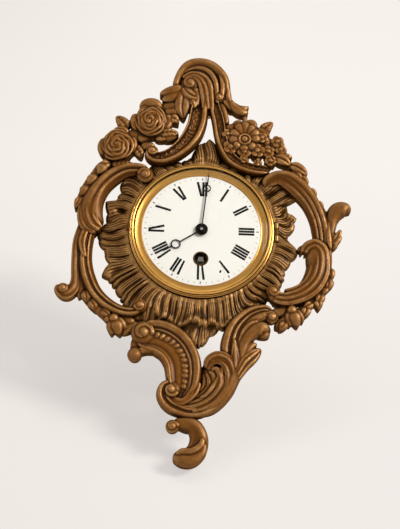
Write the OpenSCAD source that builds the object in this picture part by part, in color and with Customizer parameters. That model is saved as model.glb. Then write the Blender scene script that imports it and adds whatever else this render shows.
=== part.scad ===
// Cartel wall clock: cast bronze scroll frame, hinged bezel with convex glass,
// enamel dial with moon hands, and an eight day spring movement in a drum.
// Millimetres. +X to the viewer's right, -Y to the viewer, +Z up.
// The origin is where the dial axis meets the wall.

/* [Frame casting] */
// Height of the cast frame from foot to crest
casting_h = 321; // [310:1:340]
// Width of the cast frame from leaf tip to leaf tip
casting_w = 214; // [208:1:226]
// Height of the scroll fronts ahead of the dial plane
relief = 6.5; // [5:0.5:8]
// Depth of the casting's flat back behind the dial plane
cast_back = 7; // [6.5:0.5:8]
// Height of the ray ribs
rib_h = 0.9; // [0.5:0.1:1.2]

/* [Case] */
// Room between the back plate and the wall
rear_room = 5.9; // [5.5:0.1:8]
// Outside diameter of the movement drum
drum_d = 92; // [91.5:0.1:92.4]
// Wall of the movement drum
drum_wall = 0.8; // [0.6:0.1:1]
// Thickness of the drum's front flange
flange_t = 1.8; // [1.5:0.1:2]
// Thickness of the rear cap
cap_t = 0.8; // [0.6:0.1:1]
// Depth of the rear cap's rim
cap_rim = 5; // [4:0.5:7]
// Thickness of the strap and hanger brass
strap_t = 1.2; // [1:0.1:1.5]
// Width of the straps and the hanger
strap_w = 12; // [11:0.5:14]
// Reach of a strap's foot outside the drum
strap_reach = 12; // [11:0.5:14]
// Height of the hanging hole above the dial axis
hang_z = 119; // [118:0.5:122]
// Distance from the hanging hole down to the hanger's bend
hang_drop = 7; // [6:0.5:8]
// Diameter of the hanging hole
hang_d = 6; // [5:0.5:7]
// Diameter of the case screws
screw_d = 2; // [1.6:0.1:2.2]

/* [Bezel and glass] */
// Radial width of the bezel outside the glass
bezel_rim = 2; // [1.8:0.1:2.4]
// Radial width of the glass outside the sight ring
glass_seat = 1.6; // [1.5:0.1:2]
// Thickness of the glass
glass_t = 1.2; // [1:0.1:1.4]
// Rise of the convex glass
dome = 7.5; // [6:0.5:10]
// Diameter of the hinge pin
hinge_pin_d = 1.2; // [1:0.1:1.4]

/* [Dial and hands] */
// Inside diameter of the sight ring, the width of dial that shows
sight_d = 87; // [80:0.5:94]
// Radial width of the sight ring
sight_w = 5.9; // [5.5:0.1:6.5]
// Set-back of the dial's edge inside the sight ring's edge
dial_inset = 0.4; // [0.2:0.1:0.8]
// Thickness of the dial plate
dial_t = 1.2; // [1:0.1:1.4]
// Diameter of the rim of the winding hole
wind_rim_d = 11.2; // [10:0.2:12]
// Reach of the minute hand past the sight ring's inner edge
minute_over = 4; // [0:0.5:4.5]
// Length of the hour hand
hour_len = 32.5; // [30:0.5:34]
// Thickness of the hands
hand_t = 0.5; // [0.4:0.05:0.55]

/* [Movement] */
// Distance from the dial plane to the front plate
plate_set = 6; // [6:0.1:6.4]
// Thickness of the plates
plate_t = 1.8; // [1.5:0.1:2]
// Space between the plates
plate_gap = 18; // [18:0.1:18.4]
// Gap between the back plate and the drum
back_plate_gap = 4.2; // [3:0.1:5]
// Diameter of the pillars
pillar_d = 5; // [4:0.2:6]
// Drop of the winding arbor below the dial axis
wind_drop = 22.5; // [22:0.1:23]
// Diameter of the winding arbor
wind_arbor_d = 5.2; // [5.2:0.1:5.6]
// Width across the winding square
wind_square = 3.6; // [3.2:0.1:3.6]
// Outside diameter of the barrel
barrel_d = 29.2; // [28:0.2:29.6]
// Module of the great wheel
mod_barrel = 0.42; // [0.41:0.01:0.43]
// Module of the intermediate wheel
mod_inter = 0.36; // [0.35:0.01:0.37]
// Module of the centre wheel
mod_centre = 0.30; // [0.29:0.01:0.31]
// Module of the third wheel
mod_third = 0.26; // [0.25:0.01:0.27]
// Module of the fourth wheel
mod_fourth = 0.24; // [0.23:0.01:0.25]
// Module of the cannon pinion
mod_motion = 0.34; // [0.34:0.01:0.35]
// Thickness of the train wheels
wheel_t = 1.0; // [0.8:0.1:1.1]
// Outside diameter of the balance rim
balance_d = 11.6; // [11:0.2:12]

/* [Fits] */
// Radial clearance of a running pivot
run_fit = 0.05; // [0.02:0.01:0.08]

/* [Hidden] */

$fn = 48;
BRONZE = [0.50, 0.34, 0.18];
BRASS = [0.80, 0.62, 0.26];
STEEL = [0.55, 0.56, 0.58];
WHITE = [0.96, 0.95, 0.92];
BLACK = [0.06, 0.06, 0.07];

// Wheel and pinion tooth counts
N_BARREL = 80;
N_INTER_P = 10;
N_INTER = 72;
N_CENTRE_P = 12;
N_CENTRE = 80;
N_THIRD_P = 10;
N_THIRD = 75;
N_FOURTH_P = 10;
N_FOURTH = 64;
N_ESCAPE_P = 8;
N_ESCAPE = 15;
N_CANNON = 12;
N_MINUTE = 36;
N_MINUTE_P = 10;
N_HOUR = 40;
N_RATCHET = 24;

function polar(r, a) = [r * cos(a), r * sin(a)];
function bearing(a, b) = atan2(b[1] - a[1], b[0] - a[0]);

// Radii that follow from the sizes above
sight_r = sight_d / 2;
sight_out = sight_r + sight_w;
dial_r = sight_out - dial_inset;
glass_r = sight_out + glass_seat;
bezel_r = glass_r + bezel_rim;
minute_len = sight_r + minute_over;
stand_off = plate_set + 2 * plate_t + plate_gap + rear_room;
drum_r = drum_d / 2;
drum_in = drum_r - drum_wall;
flange_z = -dial_t;
flange_r = bezel_r - 0.4;
screw_r = screw_d / 2;
hinge_r = hinge_pin_d / 2;
hinge_x = bezel_r + 2.2;
hinge_z = 0.6;
knuckle_r = 1.5;
tab_z = rib_h + 0.05;
lip_z = 1.6 + glass_t;
wall_z = -stand_off;
front_z = -plate_set;
inner_z = front_z - plate_t;
rear_z = inner_z - plate_gap;
back_z = rear_z - plate_t;
arbor_r = wind_arbor_d / 2;

// Places of the arbors, looking at the dial
C = [0, 0];
B = [0, -wind_drop];
r_bi = (N_BARREL + N_INTER_P) * mod_barrel / 2;
r_ic = (N_INTER + N_CENTRE_P) * mod_inter / 2;
i_y = (r_bi * r_bi - r_ic * r_ic - wind_drop * wind_drop) / (2 * wind_drop);
I = [-sqrt(r_ic * r_ic - i_y * i_y), i_y];
T = polar((N_CENTRE + N_THIRD_P) * mod_centre / 2, 50);
F = T + polar((N_THIRD + N_FOURTH_P) * mod_third / 2, 150);
E = F + polar((N_FOURTH + N_ESCAPE_P) * mod_fourth / 2, 155);
L = E + polar(6.6, 110);
K = L + polar(6.8, 55);
r_motion = (N_CANNON + N_MINUTE) * mod_motion / 2;
mod_hour = 2 * r_motion / (N_MINUTE_P + N_HOUR);
M = [-r_motion, 0];
P = B + polar(11.5, 150);
pillar_at = [[33, -14], [-33, -14], [28, 24], [-28, 24]];
foot_at = [for (a = [30, 150, 270]) polar(36, a)];
minute_at = 84.35;
hour_at = -147;

// Turns a drawing that faces the viewer into place on the wall
module on_face() translate([0, -stand_off, 0]) rotate([90, 0, 0]) children();
module at(p, z) translate([p[0], p[1], z]) children();
// Depth behind the front plate, drawn for plates 18 apart
lev_k = plate_gap / 18;
function lev(d) = inner_z - d * lev_k;

// Phase of a gear that meshes with a first gear of zero phase at bearing b
function mesh(n1, n2, b) = b + 180 + 360 / n2 * (0.5 + b * n1 / 360);

// Outline of a gear with trapezoid teeth
function gear_line(n, m, add) = [for (i = [0 : n - 1], k = [0 : 3])
    let (a = 360 / n, r = n * m / 2)
    polar(k == 0 || k == 3 ? r - 1.15 * m : r + add * m, a * (i + [-0.27, -0.10, 0.10, 0.27][k]))];

module gear(n, m, t, turn = 0, add = 0.75)
    rotate([0, 0, turn]) linear_extrude(t) polygon(gear_line(n, m, add));

// A wheel with a bore, its back at level d
module wheel(p, n, m, d, t, bore, turn = 0) at(p, lev(d) - t) difference() {
    gear(n, m, t, turn);
    translate([0, 0, -1]) cylinder(r = bore, h = t + 2);
}

// An arbor with a pivot in each plate
module arbor(p, r, pivot) {
    at(p, lev(plate_gap - 0.15)) cylinder(r = r, h = plate_gap - 0.3);
    at(p, back_z + 0.1) cylinder(r = pivot, h = plate_gap + 2 * plate_t - 0.2);
}

module pinion(p, n, m, d0, d1, turn) at(p, lev(d1)) gear(n, m, (d1 - d0) * lev_k, turn);

// Back planes of the casting's members, each a little behind the one that stops against it
panel_back = cast_back + 0.5;
crest_back = cast_back + 0.4;
side_back = cast_back + 0.3;
base_back = cast_back + 0.2;
stem_back = cast_back + 0.1;
$back = cast_back;

// Curves of the casting. Each control point is x, y, half width, front height.
// They are drawn round a bezel of radius 53 in a frame 214 wide and 321 high, and keep clear of the bezel.
DRAWN_R = 53;
kx = (casting_w - 2 * bezel_r) / (214 - 2 * DRAWN_R);
ky = (casting_h - 2 * bezel_r) / (321 - 2 * DRAWN_R);
function placed(x, y) = let (r = norm([x, y]), e = 1 - DRAWN_R / r)
    [x / r * bezel_r + x * e * kx, y / r * bezel_r + y * e * ky];
function spline(a, b, c, d, t) = 0.5 * (2 * b + (c - a) * t + (2 * a - 5 * b + 4 * c - d) * t * t
    + (3 * b - a - 3 * c + d) * t * t * t);
function run(c, n) = [for (i = [0 : len(c) - 2], j = [0 : n - 1])
    spline(c[max(i - 1, 0)], c[i], c[i + 1], c[min(i + 2, len(c) - 1)], j / n), c[len(c) - 1]];
function sized(c) = [for (p = c) [p[0], p[1], p[2], p[3] * relief / 6.5]];
function lifted(p, z) = [p[0], p[1], z];
CHANNEL = [[-1, 0], [-1, 0.6], [-0.8, 0.94], [-0.5, 1], [0, 0.8], [0.5, 1], [0.8, 0.94], [1, 0.6], [1, 0]];
ROUND = [[-1, 0], [-1, 0.55], [-0.7, 0.9], [0, 1], [0.7, 0.9], [1, 0.55], [1, 0]];

module stroke(c, prof = CHANNEL, n = 3) {
    p = run(sized(c), n);
    m = len(prof);
    last = len(p) - 1;
    rings = [for (i = [0 : last])
        let (t = p[min(i + 1, last)] - p[max(i - 1, 0)], s = sqrt(t[0] * t[0] + t[1] * t[1]))
        for (q = prof) let (w = q[0] * p[i][2] / s)
        lifted(placed(p[i][0] - t[1] * w, p[i][1] + t[0] * w), -$back + (p[i][3] + $back) * q[1])];
    sides = [for (i = [0 : last - 1], j = [0 : m - 1])
        let (a = i * m + j, b = i * m + (j + 1) % m)
        each [[a, b, b + m], [a, b + m, a + m]]];
    ends = [[for (j = [m - 1 : -1 : 0]) j], [for (j = [0 : m - 1]) last * m + j]];
    polyhedron(points = rings, faces = concat(sides, ends), convexity = 8);
}

// A knob with a round front and a flat back, stretched as the frame is at its place
module knob(x, y, r, front, n = 14) {
    f = front * relief / 6.5;
    stretch = [placed(x + 1, y)[0] - placed(x - 1, y)[0], placed(x, y + 1)[1] - placed(x, y - 1)[1]] / 2;
    at(placed(x, y), -$back) scale([stretch[0], stretch[1], 1])
        rotate_extrude($fn = n) polygon(concat([[0, 0], [r, 0]],
            [for (a = [0 : 22.5 : 90]) [r * cos(a), f + $back - min(r, 8) * (1 - sin(a))]]));
}

// A flower with petals round a bead
module bloom(x, y, r, petals, front) {
    knob(x, y, r * 0.62, front - 1, 12);
    knob(x, y, r * 0.3, front + 0.5, 10);
    for (i = [0 : petals - 1])
        knob(x + 0.68 * r * cos(i * 360 / petals + 18), y + 0.68 * r * sin(i * 360 / petals + 18),
            r * 0.36, front - 0.6, 10);
}

// Ray panel round the bezel, outer edge as x, y
EDGE = [[-76, -9], [-70, -20], [-68, -28], [-71, -38], [-64, -43], [-60, -50], [-56, -57], [-45, -66],
    [-30, -71], [-12, -80], [1, -90], [9, -80], [14, -76], [19, -75], [30, -66], [42, -58], [52, -50],
    [58, -42], [60, -38], [62, -30], [65, -24], [72, -14], [66, -6], [64, -3], [68, 4], [70, 13],
    [68, 16], [64, 19], [63, 24], [66, 28], [60, 32], [54, 38], [48, 44], [40, 49], [28, 55], [17, 62],
    [10, 70], [4.5, 76], [-3, 71], [-12, 58], [-22, 55], [-35, 50], [-44, 46], [-50, 42], [-58, 35],
    [-60, 29], [-62, 25], [-71, 21], [-71, 12], [-70, 5]];
EDGE_AT = [for (p = EDGE) placed(p[0], p[1])];
edge_start = atan2(EDGE_AT[0][1], EDGE_AT[0][0]);
function turned(a) = a < edge_start ? a + 360 : a;
EDGE_POLAR = [for (p = EDGE_AT) [turned(atan2(p[1], p[0])), norm(p)]];
EDGE_LOOP = concat(EDGE_POLAR, [[EDGE_POLAR[0][0] + 360, EDGE_POLAR[0][1]]]);
RAYS = 144;
strap_screw_at = drum_r + strap_reach - 4.5;
ledge_z = flange_z - flange_t;

module rocaille_form() {
    rin = bezel_r + 0.6;
    m = 7;
    pts = [for (i = [0 : RAYS - 1])
        let (a = i * 360 / RAYS - 173, rib = (i % 2) * rib_h,
            ro = max(lookup(a, EDGE_LOOP) - (i % 2 == 0 ? 0.8 : 0), rin + 3), rm = (rin + ro) / 2)
        for (q = [[drum_r + 0.5, -panel_back], [ro, -panel_back], [ro, -3.6 + rib], [rm, -1.2 + rib],
            [rin, 0.1 + rib * 0.6], [rin, ledge_z], [drum_r + 0.5, ledge_z]])
        [q[0] * cos(a), q[0] * sin(a), q[1]]];
    faces = [for (i = [0 : RAYS - 1], j = [0 : m - 1])
        let (k = (i + 1) % RAYS, a = i * m + j, b = i * m + (j + 1) % m, c = k * m + (j + 1) % m,
            d = k * m + j)
        each [[a, b, c], [a, c, d]]];
    difference() {
        polyhedron(points = pts, faces = faces, convexity = 10);
        translate([bezel_r - 1, -8.5, ledge_z]) cube([9, 17, 12]);
        for (s = [-1, 1]) translate([0, s * strap_screw_at, -panel_back - 1])
            cylinder(r = screw_r + 0.15, h = 4, $fn = 16);
    }
}

module crest_form() {
    $back = crest_back;
    stroke([[-4, 124, 5, 3], [-3, 110, 5, 5], [-4, 98, 7, 6], [-5.5, 86, 7.5, 6.5], [-9.5, 75, 7.5, 6.5],
        [-17, 66, 7, 6.5], [-26, 59, 6.2, 6.5], [-34, 56.5, 5.4, 6], [-39.5, 58.5, 4.6, 5.5],
        [-40, 63, 3, 5]]);
    stroke([[5, 124, 5, 3], [6.8, 105, 4.2, 5], [10.5, 89, 4.8, 6], [13, 73.5, 4.6, 6.5],
        [18, 61, 4.6, 6.5],
        [25, 54, 4.3, 6], [36, 50, 4.2, 5.5], [46, 49.3, 3.6, 4.5]]);
    knob(46.5, 49, 3.8, 5);
    knob(-39, 61.5, 4.6, 5.5);
    stroke([[-19, 112, 5, 3], [-18.2, 123, 6.6, 5], [-10.5, 133.5, 8.8, 6.5], [1, 134, 9.2, 6.5],
        [10, 126, 8.4, 6], [13.6, 114.5, 6.8, 5], [17.5, 106, 5.2, 3.5], [26, 102, 3.4, 2],
        [33, 103.5, 1.4, 1]]);
    stroke([[-12, 127, 9, 3], [0, 128, 10, 3], [7, 118, 9, 3]], ROUND, 2);
    knob(-11, 124, 6, 7);
    stroke([[-18, 115, 5, 4], [-27, 112.5, 4.4, 3.5], [-34, 113, 1.4, 2]], ROUND);
    stroke([[-14, 119, 6, 5], [-16.5, 108, 5.4, 5], [-17, 98.5, 5.2, 4], [-15.5, 91, 1.6, 2]], ROUND);
    translate([-strap_w / 2 - 1.5, hang_z - 3 * hang_drop, -$back]) cube([strap_w + 3, 2 * hang_drop + 2,
        6]);
}

module left_form() {
    $back = side_back;
    stroke([[-40.5, 44.5, 4, 5], [-48, 46, 4.8, 6], [-57, 45, 5.4, 6.5], [-66, 40, 6.2, 6.5],
        [-74.5, 31, 6.8, 6.5],
        [-80, 20, 8, 6.5], [-82, 9, 8.4, 6.5], [-80, 0, 7.8, 5], [-76, -5, 5, 3]]);
    knob(-41.5, 43, 4.5, 6);
    stroke([[-85, 4, 4, 3], [-89.6, -12, 3.4, 3], [-90, -30, 3.2, 3], [-89.3, -42, 3.4, 3],
        [-90.5, -49, 5, 3.5],
        [-95, -53.2, 5.4, 4], [-100, -50.4, 4.2, 4], [-102, -46.6, 1.9, 3]], ROUND);
    stroke([[-81, -3, 4.4, 4], [-82.6, -15, 4.4, 5], [-82.6, -28, 4.6, 6], [-80, -40, 5, 6.5],
        [-74.5, -51.5, 5, 6.5],
        [-66, -60, 4.8, 6.5], [-56, -65, 4.2, 6], [-47, -65.5, 3.8, 5.5], [-42, -62.5, 3, 5]]);
    knob(-42, -61, 3.8, 6);
    stroke([[-68, 49, 4, 3], [-75, 48.6, 5, 5], [-81, 39.4, 4.4, 5], [-86.4, 30, 4, 5], [-91, 19, 3, 4],
        [-93, 14, 1.2, 2]], ROUND);
    stroke([[-82, -50, 3, 3], [-78, -56, 3.2, 4], [-72.5, -63.5, 3.7, 5], [-65.5, -69.5, 3.9, 5],
        [-58.5, -76.4, 4.9, 6],
        [-55.6, -83, 2.8, 3]], ROUND);
    stroke([[-62, -67, 3, 3], [-54, -71.5, 3.4, 3], [-45, -73, 3, 3]], ROUND, 2);
    stroke([[-56, -80, 4, 3], [-48, -77, 4, 3], [-42, -74, 3, 3]], ROUND, 2);
}

module right_form() {
    $back = side_back;
    stroke([[49.5, 42, 3.6, 5], [56, 43.5, 5.4, 6], [64, 41.5, 7.4, 6.5], [72.4, 34.4, 7.6, 6.5],
        [79.8, 24.4, 6.8, 6.5],
        [85, 12, 6.4, 6.5], [87.6, 0, 6.4, 5.5], [88.2, -12, 5.6, 4]]);
    knob(49.5, 41.6, 3.8, 5.5);
    stroke([[91, -16, 3.4, 3], [92.5, -6, 4, 3], [95, 5, 3.6, 3.5], [97.2, 13, 4.7, 4], [101, 20.6, 5.6, 5],
        [106.5, 21.8, 4.4, 5], [110.4, 19.6, 2, 3]], ROUND);
    stroke([[95, -12, 3.4, 3], [98.5, -4, 3.2, 3], [102.5, 4, 1, 2]], ROUND);
    stroke([[83, -7, 4.6, 5], [84, -18, 8, 6.5], [84.5, -29, 8.4, 6.5], [80, -41, 8.4, 6.5],
        [71.5, -49, 7.2, 6.5],
        [62, -52.5, 5.2, 6], [54, -52, 4.4, 5.5], [50.5, -47, 3.4, 5]]);
    knob(52, -46, 4, 6);
    stroke([[84, -10, 5, 4], [77, -11.5, 4, 3], [70, -13, 3, 2]], ROUND, 2);
    stroke([[92, -10, 4, 3], [93.5, -22, 3, 3], [92.6, -32.5, 3.3, 4], [90.4, -41, 3.5, 4.5],
        [85, -51.4, 3.3, 4.5],
        [75.5, -58.6, 3.8, 5], [65.8, -66.4, 6, 6], [59.6, -70, 4.4, 5], [53, -73, 3, 3]], ROUND);
    stroke([[67, -58, 3.4, 3], [59, -61, 4.2, 3], [51, -63.5, 4, 3]], ROUND, 2);
}

module base_left_form() {
    $back = base_back;
    stroke([[-45, -79, 6, 4], [-38, -79.5, 9.4, 6], [-27.4, -83, 12.6, 6.5], [-17.6, -90, 13.3, 6.5],
        [-11.6, -100.4, 13.3, 6.5], [-10.2, -112, 12.4, 6.5], [-11, -121, 10, 6.5], [-14, -127, 7, 6]]);
    stroke([[-42, -84, 6, 4], [-43.5, -91, 5, 5], [-44, -97, 4.6, 5.5], [-42, -100, 2, 4]], ROUND);
    stroke([[2, -136.2, 5, 5], [-9, -136.4, 5, 6], [-18.5, -132.5, 5.4, 6.5], [-23.5, -126, 5, 6.5],
        [-22.5, -120, 4.4, 6.5], [-17.5, -117.6, 3.6, 6.5]]);
    knob(-17, -123, 9, 4);
    knob(-17.5, -121, 4.6, 7);
}

module base_right_form() {
    $back = stem_back;
    stroke([[-2, -133, 7.6, 5], [8, -130, 8, 6], [16, -121, 8.6, 6.5], [21.5, -110, 8.4, 6.5],
        [25, -99, 9.8, 6.5],
        [26.6, -88, 11.6, 6.5], [29.6, -77, 10.6, 6.5], [37, -67.5, 8.4, 6], [46, -63, 6.2, 5.5],
        [52, -64, 4.8, 4.5]]);
    knob(52, -66, 4.6, 5);
    stroke([[9, -118, 5, 4], [7.8, -107, 5.4, 5], [11.5, -98.5, 5, 5], [18, -99, 4.4, 5]]);
    stroke([[35, -76, 7, 5], [44, -75, 5.8, 5.5], [50, -78.5, 3, 4]], ROUND);
    stroke([[29, -97, 8, 4], [37, -94.5, 6, 4], [44, -90, 1.6, 3]], ROUND);
}

module foot_form() {
    stroke([[-16.5, -146.8, 3.6, 5], [-9, -145.2, 4.2, 5.5], [-2, -147, 5.4, 6], [1.6, -154, 6.4, 6.5],
        [0.6, -162, 7, 6.5], [-4, -167.8, 7.4, 6.5], [-10.4, -168, 6.8, 6.5], [-15, -165, 3.8, 6]]);
    stroke([[-8, -139.6, 8.4, 4], [-6.5, -145, 8, 4], [-4, -150, 6, 4]], ROUND, 2);
    knob(-17, -147, 4.4, 6);
}

module rose(x, y, r, front) {
    knob(x, y, r * 0.9, front - 2, 18);
    knob(x, y, r * 0.5, front, 12);
    for (a = [20 : 60 : 320]) knob(x + 0.62 * r * cos(a), y + 0.62 * r * sin(a), r * 0.4, front - 1.2, 10);
}

module rose_form() {
    rose(-63, 67, 14.4, 7);
    rose(-40, 90.6, 16.2, 7);
    stroke([[-72, 54, 5, 3], [-62, 66, 6, 3], [-50, 78, 6, 3], [-40, 88, 6, 3], [-28, 76, 6, 4],
        [-19, 78, 3, 3]],
        ROUND, 2);
    stroke([[-58, 80, 5, 4], [-62, 86, 4.6, 4], [-67, 91, 1.4, 2]], ROUND, 2);
    stroke([[-37, 74, 5, 4], [-31, 72.4, 4.2, 4], [-26, 73, 2.4, 3]], ROUND, 2);
    stroke([[-52, 72, 5, 3], [-45, 75, 5, 3], [-40, 78, 4, 3]], ROUND, 2);
    stroke([[-32, 94, 6, 3], [-24, 96, 4, 3], [-18, 99, 3, 3]], ROUND, 2);
    stroke([[-54, 66, 4, 3], [-49, 62, 4, 3], [-46, 57, 3, 2]], ROUND, 2);
}

module flower_form() {
    bloom(31, 77, 13.4, 6, 7);
    for (q = [[20, 69, 6.4], [41.5, 67, 7.2], [31, 65, 6.4], [48.5, 66, 5.8], [21, 83, 6],
        [43, 80, 7.4], [25, 89.6, 5.8],
        [36, 90, 5.6], [50, 57, 4.2], [40.5, 57, 4]])
        knob(q[0], q[1], q[2], 5.5, 10);
    bloom(55.5, 73, 6.6, 5, 5);
    stroke([[44, 82, 6, 4], [48.5, 87, 3.8, 4], [52.5, 91, 1, 2]], ROUND, 2);
    stroke([[45, 74, 6, 2], [52, 73, 5, 2]], ROUND, 2);
    stroke([[50, 64, 4, 3], [60, 58, 4.7, 5], [68.6, 54.6, 4.2, 5], [76.4, 46.6, 3.2, 4.5],
        [81.6, 38, 2.8, 4],
        [86, 29, 2.4, 3.5], [88.6, 22, 1.1, 2]], ROUND);
}

module rocaille_surround() color(BRONZE) on_face() resize([0, 0, 0]) union() {
    rocaille_form();
}

module crest_scroll() color(BRONZE) on_face() resize([0, 0, 0]) difference() {
    crest_form();
    rocaille_form();
    for (s = [-1, 1]) translate([s * 3.5, hang_z - 2 * hang_drop, -crest_back - 1])
        cylinder(r = screw_r + 0.15, h = 5, $fn = 16);
}

module left_scroll() color(BRONZE) on_face() resize([0, 0, 0]) difference() {
    left_form();
    rocaille_form();
    crest_form();
}

module right_scroll() color(BRONZE) on_face() resize([0, 0, 0]) difference() {
    right_form();
    rocaille_form();
    crest_form();
}

module base_scroll_left() color(BRONZE) on_face() resize([0, 0, 0]) difference() {
    base_left_form();
    rocaille_form();
    left_form();
}

module base_scroll_right() color(BRONZE) on_face() resize([0, 0, 0]) difference() {
    base_right_form();
    rocaille_form();
    right_form();
    base_left_form();
}

module foot_scroll() color(BRONZE) on_face() resize([0, 0, 0]) difference() {
    foot_form();
    base_left_form();
    base_right_form();
}

module rose_spray() color(BRONZE) on_face() resize([0, 0, 0]) difference() {
    rose_form();
    rocaille_form();
    crest_form();
    left_form();
}

module flower_spray() color(BRONZE) on_face() resize([0, 0, 0]) difference() {
    flower_form();
    rocaille_form();
    crest_form();
    right_form();
}

// Case behind the casting
strap_leg = 9;
leg_z = -panel_back - 6;

module drum() color(BRASS) on_face() difference() {
    union() {
        rotate_extrude($fn = 96) polygon([[drum_in, wall_z + cap_t + 0.2], [drum_r, wall_z + cap_t + 0.2],
            [drum_r, ledge_z], [flange_r, ledge_z], [flange_r, flange_z], [drum_in, flange_z]]);
        for (s = [-1, 1]) {
            translate([bezel_r - 2, s * 5.05 - 1.95, ledge_z]) cube([hinge_x - bezel_r + 3.5, 3.9,
                flange_t]);
            translate([hinge_x - knuckle_r, s * 5.05 - 1.95, flange_z - 0.5])
                cube([2 * knuckle_r, 3.9, hinge_z - flange_z + 0.5]);
            translate([hinge_x, s * 5.05 + 1.95, hinge_z]) rotate([90, 0, 0]) cylinder(r = knuckle_r,
                h = 3.9);
        }
    }
    translate([hinge_x, 8, hinge_z]) rotate([90, 0, 0]) cylinder(r = hinge_r, h = 16);
    for (s = [-1, 1]) translate([0, s * (drum_r - 3), leg_z]) rotate([-90 * s, 0,
        0]) cylinder(r = screw_r, h = 6);
}

module rear_cap() color(BRASS) on_face() rotate_extrude($fn = 96)
    polygon([[0, wall_z], [drum_r + 0.8, wall_z], [drum_r + 0.8, wall_z + cap_rim],
        [drum_r, wall_z + cap_rim],
        [drum_r, wall_z + cap_t], [0, wall_z + cap_t]]);

module straps() color(BRASS) on_face() difference() {
    union() {
        for (s = [-1, 1]) {
            translate([-strap_w / 2, s > 0 ? drum_r + 0.6 : -drum_r - strap_reach, -panel_back - strap_t])
                cube([strap_w, strap_reach - 0.6, strap_t]);
            intersection() {
                translate([0, 0, -panel_back - strap_leg]) difference() {
                    cylinder(r = drum_r + strap_t, h = strap_leg, $fn = 96);
                    translate([0, 0, -1]) cylinder(r = drum_r, h = strap_leg + 2, $fn = 96);
                }
                translate([-strap_w / 2, s > 0 ? drum_r - 6 : -drum_r - 4, -panel_back - strap_leg])
                    cube([strap_w, 10, strap_leg]);
            }
        }
    }
    for (s = [-1, 1]) {
        translate([0, s * strap_screw_at, -panel_back - 4]) cylinder(r = screw_r, h = 8);
        translate([0, s * (drum_r - 3), leg_z]) rotate([-90 * s, 0, 0]) cylinder(r = screw_r, h = 8);
    }
}

// A screw with its head's underside at zero, shank going up
module screw(len) {
    cylinder(r = screw_r, h = len);
    translate([0, 0, -1.2]) difference() {
        cylinder(r = 2 * screw_r, h = 1.2);
        translate([-3, -0.25, -1]) cube([6, 0.5, 1.5]);
    }
}

module strap_screws() color(STEEL) on_face() for (s = [-1, 1]) {
    translate([0, s * strap_screw_at, -panel_back - strap_t]) screw(strap_t + 2.5);
    translate([0, s * (drum_r + strap_t + 0.05), leg_z]) rotate([90 * s, 0, 0]) screw(strap_t + 1.6);
}

module hanger() color(BRASS) on_face() difference() {
    union() {
        translate([-strap_w / 2, hang_z - 3 * hang_drop + 1, -crest_back - strap_t])
            cube([strap_w, 2 * hang_drop - 1, strap_t]);
        translate([-strap_w / 2, hang_z - hang_drop - strap_t, wall_z + 0.2])
            cube([strap_w, strap_t, stand_off - crest_back - 0.2]);
        translate([-strap_w / 2, hang_z - hang_drop - strap_t, wall_z + 0.2])
            cube([strap_w, 2 * hang_drop + strap_t, strap_t]);
    }
    translate([0, hang_z, wall_z - 1]) cylinder(r = hang_d / 2, h = 4);
    for (s = [-1, 1]) translate([s * 3.5, hang_z - 2 * hang_drop, -crest_back - 3]) cylinder(r = screw_r,
        h = 6);
}

module hanger_screws() color(STEEL) on_face() for (s = [-1, 1])
    translate([s * 3.5, hang_z - 2 * hang_drop, -crest_back - strap_t]) screw(strap_t + 3.5);

// Bezel, glass and dial
module hinge_pin() color(BRASS) on_face() translate([hinge_x, 7.6, hinge_z]) rotate([90, 0, 0]) {
    cylinder(r = hinge_r, h = 15.2);
    translate([0, 0, -0.6]) cylinder(r = hinge_r + 0.4, h = 0.6);
}

module bezel_ring() color(BRASS) on_face() difference() {
    union() {
        rotate_extrude($fn = 128) polygon([[glass_r + 0.05, -0.9], [bezel_r, -0.9], [bezel_r, lip_z - 1.6],
            [bezel_r - 0.15, lip_z - 0.8], [bezel_r - 0.6, lip_z], [bezel_r - 1.3, lip_z + 0.5],
            [bezel_r - 2, lip_z + 0.5], [bezel_r - 2.5, lip_z + 0.2], [bezel_r - 2.8, lip_z + 0.35],
            [bezel_r - 3.2, lip_z + 0.3], [bezel_r - 3.4, lip_z], [glass_r + 0.05, lip_z]]);
        translate([glass_r + 0.3, -2.9, -0.9]) cube([hinge_x - glass_r - 0.3, 5.8, hinge_z + 0.9]);
        translate([hinge_x, 2.9, hinge_z]) rotate([90, 0, 0]) cylinder(r = knuckle_r, h = 5.8);
        translate([-bezel_r - 1.6, -2.5, tab_z]) cube([2.4, 5, 1]);
    }
    translate([hinge_x, 4, hinge_z]) rotate([90, 0, 0]) cylinder(r = hinge_r + run_fit, h = 8);
}

glass_flat = glass_r - 1.8;
glass_rad = (glass_flat * glass_flat + dome * dome) / (2 * dome);
function cap_rise(r) = sqrt(glass_rad * glass_rad - r * r) - (glass_rad - dome);

module glass() color([0.85, 0.9, 0.92, 0.35]) on_face() rotate_extrude($fn = 128) polygon(concat(
    [[0, lip_z + dome]], [for (i = [1 : 12]) [glass_flat * i / 12, lip_z + cap_rise(glass_flat * i / 12)]],
    [[glass_r, lip_z], [glass_r, lip_z - glass_t]],
    [for (i = [12 : -1 : 1]) [glass_flat * i / 12, lip_z - glass_t + cap_rise(glass_flat * i / 12)]],
    [[0, lip_z - glass_t + dome]]));

module glass_ring() color(BRASS) on_face() rotate_extrude($fn = 128)
    polygon([[glass_r - 0.8, lip_z - glass_t - 0.9], [glass_r + 0.05, lip_z - glass_t - 0.9],
        [glass_r + 0.05, lip_z - glass_t], [glass_r - 0.8, lip_z - glass_t]]);

module sight_ring() color(BRASS) on_face() rotate_extrude($fn = 128)
    polygon([[sight_r, 0], [sight_out, 0], [sight_out, 1], [sight_r, 0.35]]);

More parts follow.
